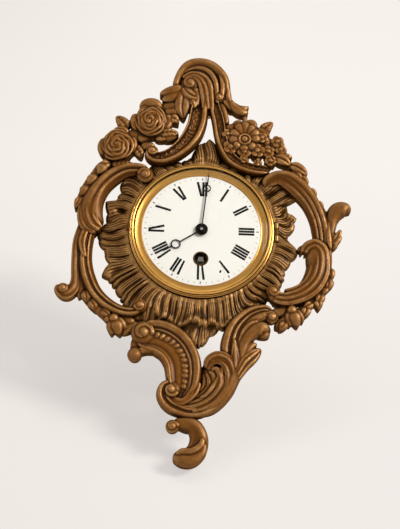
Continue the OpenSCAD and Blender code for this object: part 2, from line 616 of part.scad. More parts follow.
module dial() color(WHITE) on_face() difference() {
    union() {
        translate([0, 0, -dial_t]) cylinder(r = dial_r, h = dial_t, $fn = 128);
        for (p = foot_at) at(p, inner_z - 0.6) cylinder(r = 1, h = plate_set + plate_t - dial_t + 0.7);
    }
    translate([0, 0, -3]) cylinder(r = 3.2, h = 6);
    at(B, -3) cylinder(r = wind_rim_d / 2 - 0.6, h = 6);
}

module winding_grommet() color(BRASS) on_face() at(B, 0) rotate_extrude()
    polygon([[wind_rim_d / 2 - 1, -dial_t], [wind_rim_d / 2 - 0.6, -dial_t], [wind_rim_d / 2 - 0.6, 0],
        [wind_rim_d / 2, 0], [wind_rim_d / 2 - 0.2, 0.35], [wind_rim_d / 2 - 1, 0.35]]);

// A moon hand lying along +X
module moon_hand(len, ring_at, ring_r, boss, bore) difference() {
    union() {
        cylinder(r = boss, h = hand_t);
        translate([0, -0.45, 0]) cube([ring_at - ring_r + 0.5, 0.9, hand_t]);
        translate([ring_at, 0, 0]) cylinder(r = ring_r, h = hand_t);
        linear_extrude(hand_t) polygon([[ring_at + ring_r - 0.4, -0.6], [len, -0.15], [len, 0.15],
            [ring_at + ring_r - 0.4, 0.6]]);
    }
    translate([0, 0, -1]) cylinder(r = bore, h = 3);
    translate([ring_at, 0, -1]) cylinder(r = ring_r - 0.8, h = 3);
}

hour_z = 0.6;
minute_z = 1.5;
pipe_r = 2.4;
cannon_r = 1.6;

module hour_hand() color(BLACK) on_face() translate([0, 0, hour_z]) rotate([0, 0, hour_at])
    moon_hand(hour_len, 22, 3.6, 4.2, pipe_r);

module minute_hand() color(BLACK) on_face() translate([0, 0, minute_z]) rotate([0, 0, minute_at])
    moon_hand(minute_len, 33.1, 3, 4.6, cannon_r);

module hand_nut() color(BLACK) on_face() translate([0, 0, minute_z + hand_t]) difference() {
    union() {
        cylinder(r = 2.2, h = 0.5);
        translate([0, 0, 0.5]) cylinder(r1 = 2.2, r2 = 1.5, h = 0.4);
    }
    translate([0, 0, -1]) cylinder(r = 1 + run_fit, h = 3);
}

// Plates
pivots = [[I, 0.6], [T, 0.5], [F, 0.4], [E, 0.35], [L, 0.3], [K, 0.25]];

module plate_holes(z, h) {
    for (q = pivots) at(q[0], z) cylinder(r = q[1] + run_fit, h = h);
    for (p = pillar_at) at(p, z) cylinder(r = screw_r, h = h);
}

module front_plate() color(BRASS) on_face() difference() {
    union() {
        translate([0, 0, inner_z]) cylinder(r = drum_in, h = plate_t, $fn = 96);
        at(M, inner_z + 0.5) cylinder(r = 0.7, h = plate_t + 3.4);
        at(P, inner_z + 0.5) cylinder(r = 0.7, h = plate_t + 1.6);
    }
    plate_holes(inner_z - 1, plate_t + 2);
    translate([0, 0, inner_z - 1]) cylinder(r = 1 + run_fit, h = plate_t + 2);
    at(B, inner_z - 1) cylinder(r = arbor_r + run_fit, h = plate_t + 2);
    for (p = foot_at) at(p, inner_z - 1) cylinder(r = 1, h = plate_t + 2);
}

slot_r = 4.7;
module back_plate() color(BRASS) on_face() difference() {
    union() {
        translate([0, 0, back_z]) cylinder(r = drum_in - back_plate_gap, h = plate_t, $fn = 96);
        at(K, back_z - 0.8) cylinder(r = 1.55, h = 1.3);
        at(K + polar(5, 200), rear_z - 0.5) cylinder(r = 0.45, h = 2.3);
    }
    plate_holes(back_z - 2, plate_t + 3);
    translate([0, 0, back_z - 1]) cylinder(r = 0.7 + run_fit, h = plate_t + 2);
    at(B, back_z - 1) cylinder(r = 1.5 + run_fit, h = plate_t + 2);
    at(K, back_z - 1) linear_extrude(plate_t + 2) polygon(concat(
        [for (a = [60 : 5 : 120]) polar(slot_r - 0.4, a)],
        [for (a = [120 : -5 : 60]) polar(slot_r + 0.4, a)]));
}

module pillars() color(BRASS) on_face() for (p = pillar_at) difference() {
    at(p, rear_z) cylinder(d = pillar_d, h = plate_gap);
    at(p, rear_z - 1) cylinder(r = screw_r, h = 5);
    at(p, inner_z - 4) cylinder(r = screw_r, h = 5);
}

module pillar_screws() color(STEEL) on_face() for (p = pillar_at) {
    at(p, back_z) screw(plate_t + 3.5);
    at(p, front_z) rotate([180, 0, 0]) screw(plate_t + 3.5);
}

// Going barrel
barrel_r = barrel_d / 2;
barrel_in = barrel_r - 1;

module barrel() color(BRASS) on_face() difference() {
    union() {
        at(B, lev(15)) cylinder(r = barrel_r, h = 8.4 * lev_k, $fn = 64);
        at(B, lev(16.4)) gear(N_BARREL, mod_barrel, 1.4);
    }
    at(B, lev(14.2)) cylinder(r = barrel_in, h = 10, $fn = 64);
    at(B, lev(18)) cylinder(r = arbor_r + run_fit, h = 18);
}

module barrel_cap() color(BRASS) on_face() at(B, lev(7.6)) difference() {
    cylinder(r = barrel_in, h = 1, $fn = 64);
    translate([0, 0, -1]) cylinder(r = arbor_r + run_fit, h = 3);
}

// A strip wound into a spiral from r0 to r1
module spiral(r0, r1, turns, w, h, steps) {
    n = turns * steps;
    linear_extrude(h) polygon(concat(
        [for (i = [0 : n]) polar(r0 + (r1 - r0) * i / n, i * 360 / steps)],
        [for (i = [n : -1 : 0]) polar(r0 + w + (r1 - r0) * i / n, i * 360 / steps)]));
}

module mainspring() color(STEEL) on_face() at(B, lev(13.8)) spiral(4.6, barrel_in - 0.45, 9, 0.35,
    5.6 * lev_k, 18);

module winding_arbor() color(STEEL) on_face() {
    at(B, lev(plate_gap - 0.15)) cylinder(r = arbor_r, h = plate_gap - 0.15 + plate_t + 1.8);
    at(B, lev(13.9)) cylinder(r = 4, h = 5.9 * lev_k);
    at(B, back_z + 0.1) cylinder(r = 1.5, h = plate_t + 1);
    at(B, front_z + 1.7) translate([-wind_square / 2, -wind_square / 2, 0])
        cube([wind_square, wind_square, plate_set - 2.6]);
}

module ratchet_wheel() color(STEEL) on_face() at(B, front_z + 0.6) difference() {
    linear_extrude(1) polygon([for (i = [0 : N_RATCHET - 1], k = [0, 1])
        polar(k == 0 ? 8 : 7, 120 + 15 * (i + (k == 0 ? -0.22 : -0.10)))]);
    translate([0, 0, -1]) cylinder(r = arbor_r, h = 3);
}

module click() color(STEEL) on_face() at(P, front_z + 0.5) difference() {
    union() {
        cylinder(r = 1.6, h = 1.1);
        linear_extrude(1.1) polygon([[-1.2, 1],
            [1.2, -1], B - P + polar(8.6, 124), B - P + polar(7.35, 120.6),
            B - P + polar(7.35, 118.8), B - P + polar(9.4, 116)]);
        linear_extrude(1.1) polygon([[-1, 1], [0.6, -1.2], [-4.6, -3.4], [-5, -2.4]]);
    }
    translate([0, 0, -1]) cylinder(r = 0.7 + run_fit, h = 4);
}

module click_spring() color(STEEL) on_face() at(P, front_z) {
    translate([-9, -3.8, 0]) cylinder(r = 1.2, h = 1.3);
    translate([-9, -3.9, 0.6]) cube([5, 0.3, 0.6]);
}

// Going train
module intermediate_arbor() color(STEEL) on_face() union() {
    arbor(I, 1, 0.6);
    pinion(I, N_INTER_P, mod_barrel, 14.4, 17, mesh(N_BARREL, N_INTER_P, bearing(B, I)));
}
module intermediate_wheel() color(BRASS) on_face() wheel(I, N_INTER, mod_inter, 4, wheel_t, 1);

module centre_arbor() color(STEEL) on_face() union() {
    at(C, lev(plate_gap - 0.15)) cylinder(r = 1.25, h = plate_gap - 0.3);
    at(C, back_z + 0.1) cylinder(r = 0.7, h = plate_t + 1);
    at(C, lev(1)) cylinder(r = 1, h = minute_z + hand_t + 0.9 - lev(1));
    pinion(C, N_CENTRE_P, mod_inter, 3.5, 5.5, mesh(N_INTER, N_CENTRE_P, bearing(I, C)));
}
module centre_wheel() color(BRASS) on_face() wheel(C, N_CENTRE, mod_centre, 1.2, wheel_t, 1.25);

module third_arbor() color(STEEL) on_face() union() {
    arbor(T, 0.8, 0.5);
    pinion(T, N_THIRD_P, mod_centre, 0.7, 3, mesh(N_CENTRE, N_THIRD_P, bearing(C, T)));
}
module third_wheel() color(BRASS) on_face() wheel(T, N_THIRD, mod_third, 7, wheel_t, 0.8);

module fourth_arbor() color(STEEL) on_face() union() {
    arbor(F, 0.7, 0.4);
    pinion(F, N_FOURTH_P, mod_third, 6.5, 8.6, mesh(N_THIRD, N_FOURTH_P, bearing(T, F)));
}
module fourth_wheel() color(BRASS) on_face() wheel(F, N_FOURTH, mod_fourth, 12, wheel_t, 0.7);

module escape_arbor() color(STEEL) on_face() union() {
    arbor(E, 0.6, 0.35);
    pinion(E, N_ESCAPE_P, mod_fourth, 11.5, 13.5, mesh(N_FOURTH, N_ESCAPE_P, bearing(F, E)));
}
module escape_wheel() color(BRASS) on_face() at(E, lev(15)) difference() {
    linear_extrude(0.8) polygon([for (i = [0 : N_ESCAPE - 1], k = [0 : 2])
        polar(k == 0 ? 5 : 3.7, 24 * (i + [0, 0.12, 0.8][k]))]);
    translate([0, 0, -1]) cylinder(r = 0.6, h = 3);
}

// Lever and balance
module pallet_lever() color(STEEL) on_face() union() {
    arbor(L, 0.5, 0.3);
    at(L, lev(15)) rotate([0, 0, bearing(L, E)]) {
        translate([-0.6, -3.6, 0]) cube([1.2, 7.2, 0.8]);
        for (s = [-1, 1]) translate([0, s * 3.2 - 0.4, 0]) cube([1.5, 0.8, 0.8]);
    }
    at(L, lev(15)) rotate([0, 0, bearing(L, K)]) {
        translate([0, -0.4, 0]) cube([4.9, 0.8, 0.8]);
        translate([4.4, -1.5, 0]) cube([0.5, 3, 0.8]);
        for (s = [-1, 1]) translate([4.4, s * 1.25 - 0.25, 0]) cube([1.3, 0.5, 0.8]);
    }
}

module balance_staff() color(STEEL) on_face() union() {
    at(K, lev(plate_gap - 0.15)) cylinder(r = 0.6, h = plate_gap - 0.3);
    at(K, back_z - 0.7) cylinder(r = 0.25, h = plate_gap + 2 * plate_t + 0.6);
    at(K, lev(15)) cylinder(r = 0.8, h = 0.8);
    at(K + polar(0.9, bearing(K, L)), lev(15)) cylinder(r = 0.22, h = 0.8, $fn = 20);
    at(K, lev(16.9)) cylinder(r = 1.1, h = 1);
}

module balance_wheel() color(BRASS) on_face() at(K, lev(10.4)) difference() {
    union() {
        difference() {
            cylinder(d = balance_d, h = 1.4);
            translate([0, 0, -1]) cylinder(r = balance_d / 2 - 1, h = 4);
        }
        cylinder(r = 1.3, h = 1.4);
        translate([-balance_d / 2 + 0.5, -0.6, 0.3]) cube([balance_d - 1, 1.2, 0.8]);
    }
    translate([0, 0, -1]) cylinder(r = 0.6, h = 4);
}

module hairspring() color(STEEL) on_face() at(K, lev(16.8)) spiral(1.1, 4.1, 6, 0.15, 0.7, 18);

module regulator() color(STEEL) on_face() at(K, back_z - 0.7) union() {
    difference() {
        union() {
            cylinder(r = 2.6, h = 0.6);
            translate([-0.5, 1.8, 0]) cube([1, 4.4, 0.6]);
            translate([-0.4, -7, 0]) cube([0.8, 5.2, 0.6]);
        }
        translate([0, 0, -1]) cylinder(r = 1.55 + run_fit, h = 3);
    }
    translate([0, slot_r, 0.3]) cylinder(r = 0.2, h = plate_t + 1.7, $fn = 20);
}

// Motion work under the dial
module cannon_pinion() color(STEEL) on_face() difference() {
    union() {
        translate([0, 0, front_z + 0.4]) gear(N_CANNON, mod_motion, 1.2);
        translate([0, 0, front_z + 0.4]) cylinder(r = cannon_r, h = minute_z + hand_t - front_z - 0.4);
    }
    translate([0, 0, front_z - 1]) cylinder(r = 1 + run_fit, h = 12);
}

module minute_wheel() color(BRASS) on_face() at(M, front_z + 0.5) difference() {
    union() {
        gear(N_MINUTE, mod_motion, 0.9, mesh(N_CANNON, N_MINUTE, 180));
        gear(N_MINUTE_P, mod_hour, 3.2);
    }
    translate([0, 0, -1]) cylinder(r = 0.7 + run_fit, h = 6);
}

module hour_wheel() color(BRASS) on_face() difference() {
    union() {
        translate([0, 0, front_z + 2.4]) gear(N_HOUR, mod_hour, wheel_t, mesh(N_MINUTE_P, N_HOUR, 0));
        translate([0, 0, front_z + 2.4]) cylinder(r = pipe_r, h = hour_z + hand_t - front_z - 2.4);
    }
    translate([0, 0, front_z]) cylinder(r = cannon_r + run_fit, h = 12);
}

rocaille_surround();
crest_scroll();
left_scroll();
right_scroll();
base_scroll_left();
base_scroll_right();
foot_scroll();
rose_spray();
flower_spray();
drum();
rear_cap();
straps();
strap_screws();
hanger();
hanger_screws();
hinge_pin();
bezel_ring();
glass();
glass_ring();
sight_ring();
dial();
winding_grommet();
hour_hand();
minute_hand();
hand_nut();
front_plate();
back_plate();
pillars();
pillar_screws();
barrel();
barrel_cap();
mainspring();
winding_arbor();
ratchet_wheel();
click();
click_spring();
intermediate_arbor();
intermediate_wheel();
centre_arbor();
centre_wheel();
third_arbor();
third_wheel();
fourth_arbor();
fourth_wheel();
escape_arbor();
escape_wheel();
pallet_lever();
balance_staff();
balance_wheel();
hairspring();
regulator();
cannon_pinion();
minute_wheel();
hour_wheel();
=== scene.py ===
# Looks of the cartel clock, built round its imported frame
import math
import bpy
import numpy as np
from mathutils import Matrix, Vector


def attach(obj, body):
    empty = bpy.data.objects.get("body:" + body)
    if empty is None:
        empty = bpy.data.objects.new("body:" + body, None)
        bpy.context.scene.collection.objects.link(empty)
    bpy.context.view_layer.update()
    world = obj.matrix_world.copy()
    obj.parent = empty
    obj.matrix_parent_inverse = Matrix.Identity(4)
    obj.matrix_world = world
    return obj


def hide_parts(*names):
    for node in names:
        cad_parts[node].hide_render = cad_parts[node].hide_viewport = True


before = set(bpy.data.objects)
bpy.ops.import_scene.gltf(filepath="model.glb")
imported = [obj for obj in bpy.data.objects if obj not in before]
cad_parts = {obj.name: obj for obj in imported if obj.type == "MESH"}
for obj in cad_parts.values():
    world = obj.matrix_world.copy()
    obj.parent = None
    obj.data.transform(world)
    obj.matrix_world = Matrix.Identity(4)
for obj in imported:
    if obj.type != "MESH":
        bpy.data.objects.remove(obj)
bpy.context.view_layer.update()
rng = np.random.default_rng(11)
scene = bpy.context.scene
PI = math.pi
STAND = 33.5  # mm from the wall to the dial plane

# Camera at the photograph's place, found from the dial's ellipse and the frame's outline
SENSOR = 36.0
FOCAL_PIXELS = 1100
PHOTO_HEIGHT = 529
EYE = Vector((-0.02343, -0.77246, -0.31794))
RIGHT = Vector((0.99893496, -0.04006821, 0.02287976))
UP = Vector((-0.03595064, -0.36506797, 0.93028648))
cam = bpy.data.objects.new("camera", bpy.data.cameras.new("camera"))
scene.collection.objects.link(cam)
cam.data.sensor_fit = "VERTICAL"
cam.data.sensor_height = SENSOR
cam.data.sensor_width = SENSOR
cam.data.lens = FOCAL_PIXELS / PHOTO_HEIGHT * SENSOR
cam.data.clip_start = 0.01
cam.data.clip_end = 20
cam.matrix_world = Matrix.Translation(EYE) @ Matrix((RIGHT, UP, RIGHT.cross(UP))).transposed().to_4x4()
scene.camera = cam


def srgb(r, g, b):
    return tuple(((c / 255 + 0.055) / 1.055) ** 2.4 if c > 10 else c / 255 / 12.92 for c in (r, g, b))


# A colour times one share, or times a share for each of red, green and blue
def toned(colour, *shares):
    return tuple(c * k for c, k in zip(colour, shares if len(shares) > 1 else shares * 3))


# The node tree of a new material or of the world, with a short call for each kind of node
class Shader:
    def __init__(self, name, kind=bpy.data.materials):
        self.owner = kind.new(name)
        self.owner.use_nodes = True
        self.tree = self.owner.node_tree

    # Give a socket another node's output, a colour or a number
    def feed(self, socket, value):
        if isinstance(value, bpy.types.NodeSocket):
            self.tree.links.new(value, socket)
        else:
            socket.default_value = (*value, 1) if isinstance(value, tuple) else value

    # A node with values for its first sockets, then sockets and settings by name
    def node(self, kind, *values, **sets):
        made = self.tree.nodes.new("ShaderNode" + kind)
        for socket, value in zip(made.inputs, values):
            self.feed(socket, value)
        for name, value in sets.items():
            if name in made.inputs:
                self.feed(made.inputs[name], value)
            else:
                setattr(made, name, value)
        return made

    def noise(self, scale, detail, rough=0.55):
        place = self.node("TexCoord").outputs["Object"]
        return self.node("TexNoise", place, Scale=scale, Detail=detail, Roughness=rough).outputs["Fac"]

    def ramp(self, value, *stops):
        made = self.node("ValToRGB", value)
        marks = made.color_ramp.elements
        while len(marks) < len(stops):
            marks.new(0.5)
        for i, (place, shade) in enumerate(stops):
            marks[i].position = place
            marks[i].color = (*shade, 1) if isinstance(shade, tuple) else (shade, shade, shade, 1)
        return made.outputs["Color"]

    def maths(self, operation, *values):
        return self.node("Math", *values, operation=operation).outputs[0]

    def plus(self, a, b):
        return self.maths("ADD", a, b)

    def minus(self, a, b):
        return self.maths("SUBTRACT", a, b)

    def times(self, a, b):
        return self.maths("MULTIPLY", a, b)

    # The colours are the sockets 6 and 7 of a Mix node, and its output 2
    def blend(self, share, first, second):
        made = self.node("Mix", share, data_type="RGBA")
        self.feed(made.inputs[6], first)
        self.feed(made.inputs[7], second)
        return made.outputs[2]

    def mix(self, share, first, second):
        return self.node("MixShader", share, first, second).outputs[0]

    def occlusion(self, distance):
        return self.node("AmbientOcclusion", Distance=distance, samples=8).outputs["AO"]

    # The x, y and z of a vector that a kind of node gives
    def parts(self, kind, output):
        return self.node("SeparateXYZ", self.node(kind).outputs[output]).outputs

    # 1 for what the camera sees, straight, mirrored or through glass, and 0 for what only gives light
    def seen(self):
        path = self.node("LightPath").outputs
        bounced = self.maths("MAXIMUM", path["Is Glossy Ray"], path["Is Transmission Ray"])
        return self.maths("MAXIMUM", path["Is Camera Ray"], bounced)

    def bump(self, height, strength, distance):
        return self.node("Bump", Strength=strength, Distance=distance, Height=height).outputs["Normal"]

    # The finished material, with its surface's sockets set
    def surface(self, sockets):
        for name, value in sockets.items():
            self.feed(self.tree.nodes["Principled BSDF"].inputs[name], value)
        return self.owner


# Bronze with a brown patina, darker in the low places and rubbed golden along the ridges, with painted
# shade in the crevices, under overlapping parts and on the walls
def bronze(name, dark_patina_and_shade, body, rubbed):
    s = Shader(name)
    ridge = s.node("Attribute", attribute_name="ridge").outputs["Fac"]
    patch = s.noise(55, 5)
    mottle = s.noise(210, 4, 0.6)
    grain = s.noise(700, 3)
    rub = s.times(s.ramp(ridge, (0.5, 0), (0.85, 1)), s.ramp(patch, (0.3, 0.45), (0.7, 1)))
    rub = s.times(rub, s.ramp(mottle, (0.34, 0.55), (0.6, 1)))
    unshaded = s.ramp(s.occlusion(0.007), (0.25, 0), (0.85, 1))
    wall = s.ramp(s.times(s.parts("TexCoord", "Normal")[1], -1), (0, 0.8), (0.3, 0))
    brown = s.blend(s.ramp(patch, (0.35, 0), (0.7, 1)), body, toned(body, 0.72))
    brown = s.blend(s.ramp(mottle, (0.4, 0), (0.66, 0.35)), brown, toned(body, 0.7, 0.88, 1.2))
    brown = s.blend(rub, brown, rubbed)
    # Painted shade: the darkest colour where occlusion finds crevices and overlapping parts
    brown = s.blend(unshaded, dark_patina_and_shade, brown)
    brown = s.blend(s.ramp(ridge, (0.12, 0.75), (0.48, 0)), brown, dark_patina_and_shade)
    brown = s.blend(s.ramp(grain, (0.3, 0.22), (0.75, 0)), brown, dark_patina_and_shade)
    # Painted shade: the walls, which face sideways, are darkened
    brown = s.blend(wall, brown, toned(body, 0.42))
    coat = s.times(s.times(s.minus(1, wall), unshaded), 0.16)
    rough = s.minus(s.plus(0.62, s.times(wall, 0.2)), s.times(rub, 0.2))
    rough = s.plus(rough, s.times(s.minus(grain, 0.5), 0.18))
    pitted = s.bump(s.plus(grain, s.plus(patch, s.times(mottle, 1.6))), 0.4, 0.0004)
    return s.surface({"Metallic": 0.9, "Base Color": brown, "Roughness": rough, "Normal": pitted,
                      "Coat Weight": coat, "Coat Roughness": 0.28, "Specular Tint": (1, 0.7, 0.4)})


BRONZE = bronze("bronze", srgb(25, 9, 0), srgb(105, 59, 2), srgb(162, 120, 72))
GOLDEN = bronze("bronze_rays", srgb(25, 10, 0), srgb(100, 60, 3), srgb(158, 119, 72))


# Lacquered brass, a little tarnished. Turned brass has painted shade darkening its grooves and gaps, and
# fine lines round the dial's axis.
def brass(name, tint, rough, tarnish, turned=False):
    s = Shader(name)
    patch = s.noise(70, 5)
    fine = s.noise(900, 3)
    colour = s.blend(s.ramp(patch, (0.35, 0), (0.75, tarnish)), tint, toned(tint, 0.62, 0.5, 0.4))
    colour = s.blend(s.ramp(fine, (0.3, 0.12), (0.6, 0)), colour, toned(tint, 0.5))
    height = fine
    if turned:
        # Painted shade: darker where occlusion finds a groove or a gap between parts
        groove_shade = s.ramp(s.occlusion(0.0012), (0.35, 0), (0.8, 1))
        colour = s.blend(groove_shade, toned(tint, 0.42), colour)
        x, _, z = s.parts("TexCoord", "Object")
        radius = s.maths("SQRT", s.plus(s.times(x, x), s.times(z, z)))
        height = s.plus(s.times(s.maths("SINE", s.times(radius, 9000)), 0.1), fine)
    return s.surface({"Metallic": 1.0, "Base Color": colour,
                      "Roughness": s.plus(rough, s.times(patch, 0.12)),
                      "Normal": s.bump(height, 0.05, 0.0002)})


BRASS = brass("polished_brass", srgb(190, 142, 74), 0.17, 0.2, turned=True)
SATIN = brass("satin_brass", srgb(176, 130, 64), 0.24, 0.25, turned=True)
DULL_BRASS = brass("dull_brass", srgb(92, 66, 36), 0.45, 0.8)
PLAIN_BRASS = brass("plain_brass", srgb(196, 158, 92), 0.3, 0.35)
# Brass darkened as painted shade, for the front plate that shows only inside the dark winding hole
HOLE_SHADE_BRASS = brass("hole_shade_brass", srgb(48, 34, 19), 0.5, 0.8)
CASE_BRASS = brass("case_brass", srgb(150, 122, 74), 0.42, 0.8)


def steel(name, tint, stain, rough):
    s = Shader(name)
    patch = s.noise(120, 5)
    colour = s.blend(s.ramp(patch, (0.4, 0), (0.75, 1)), tint, stain)
    return s.surface({"Metallic": 1.0, "Base Color": colour,
                      "Roughness": s.plus(rough, s.times(patch, 0.16)),
                      "Normal": s.bump(s.noise(1500, 2), 0.15, 0.0001)})


STEEL = steel("grey_steel", srgb(170, 168, 164), srgb(128, 120, 110), 0.26)
BLACK = steel("blackened_steel", srgb(17, 15, 14), srgb(36, 32, 29), 0.36)
SCREW = steel("screw_steel", srgb(120, 116, 110), srgb(78, 66, 54), 0.32)


# Fired white enamel, with faint specks and a slight waviness. Faces turned away from the front, at the
# holes and the edge, are dark copper brown: the copper showing there, darkened as painted shade inside the
# holes
def enamel():
    s = Shader("enamel")
    specks = s.ramp(s.noise(420, 6, 0.7), (0.66, 0), (0.8, 0.5))
    white = s.blend(specks, srgb(247, 244, 239), srgb(214, 200, 176))
    # Dark copper brown on faces turned away from the front, partly painted shade inside the holes
    copper_edge_shade = s.ramp(s.times(s.parts("NewGeometry", "Normal")[1], -1), (0, 1), (0.4, 0))
    return s.surface({"Base Color": s.blend(copper_edge_shade, white, srgb(58, 36, 22)),
                      "Roughness": s.ramp(s.noise(40, 2), (0.3, 0.18), (0.7, 0.3)),
                      "Normal": s.bump(s.noise(60, 2), 0.08, 0.0003)})


# Dial paint, thin and a little worn
def paint(name, ink, worn, scale, wear_from, wear_to, smooth, shine):
    s = Shader(name)
    colour = s.blend(s.ramp(s.noise(scale, 5, 0.7), wear_from, wear_to), ink, worn)
    rough = s.ramp(s.noise(500, 3), (0.3, smooth), (0.7, 0.6))
    return s.surface({"Base Color": colour, "Roughness": rough, "Specular IOR Level": shine})


# Thin clear glass with a faint, smeared reflection
def clear_glass():
    s = Shader("clear_glass")
    s.tree.nodes.clear()
    clear = s.node("BsdfTransparent", (0.985, 0.99, 0.985)).outputs[0]
    gloss = s.node("BsdfGlossy", Roughness=0.03).outputs[0]
    smear = s.ramp(s.noise(30, 4), (0.3, 0.07), (0.7, 0.13))
    share = s.times(s.node("Fresnel", IOR=1.3).outputs[0], smear)
    s.node("OutputMaterial", s.mix(share, clear, gloss))
    return s.owner


ENAMEL = enamel()
PAINT = paint("dial_paint", srgb(14, 13, 14), srgb(40, 37, 35), 900, (0.45, 0), (0.75, 0.6), 0.38, 0.12)
FAINT = paint("faint_paint", srgb(150, 132, 108), srgb(214, 203, 186), 700, (0.35, 0), (0.7, 1),
              0.4, 0.5)
GLASS = clear_glass()


# A smooth curve through a table of places and values
def bend(table, u):
    a = np.array(table, float)
    m = np.gradient(a[:, 1], a[:, 0])
    i = np.clip(np.searchsorted(a[:, 0], u) - 1, 0, len(a) - 2)
    h = a[i + 1, 0] - a[i, 0]
    s = (u - a[i, 0]) / h
    return ((2 * s ** 3 - 3 * s ** 2 + 1) * a[i, 1] + (s ** 3 - 2 * s ** 2 + s) * h * m[i]
            + (3 * s ** 2 - 2 * s ** 3) * a[i + 1, 1] + (s ** 3 - s ** 2) * h * m[i + 1])


# Points at even steps along a smooth run through control points, and how far along each one is
def route(ctrl, step):
    c = np.array(ctrl, float)
    t = np.linspace(0, 1, 20, endpoint=False)[:, None]
    parts = []
    for i in range(len(c) - 1):
        a, b, d, e = c[max(i - 1, 0)], c[i], c[i + 1], c[min(i + 2, len(c) - 1)]
        parts.append(0.5 * (2 * b + (d - a) * t + (2 * a - 5 * b + 4 * d - e) * t ** 2
                            + (3 * b - a - 3 * d + e) * t ** 3))
    p = np.vstack(parts + [c[-1:]])
    s = np.concatenate([[0], np.cumsum(np.hypot(*np.diff(p[:, :2], axis=0).T))])
    q = np.linspace(0, s[-1], max(int(s[-1] / step), 8) + 1)
    return np.column_stack([np.interp(q, s, p[:, j]) for j in range(c.shape[1])]), q


# The direction of a run at each of its points
def heading(points):
    d = np.gradient(points[:, :2], axis=0)
    return d / np.linalg.norm(d, axis=1)[:, None]


def polar(x, y, r, a):
    return x + r * math.cos(a), y + r * math.sin(a)


# Faces between rings of points, each with the next, and the last with the first if looped
def ring_faces(rings, across, looped):
    i, j = np.meshgrid(np.arange(rings if looped else rings - 1), np.arange(across), indexing="ij")
    after, beside = (i + 1) % rings, (j + 1) % across
    corners = [i * across + j, i * across + beside, after * across + beside, after * across + j]
    return np.stack(corners, -1).reshape(-1, 4)


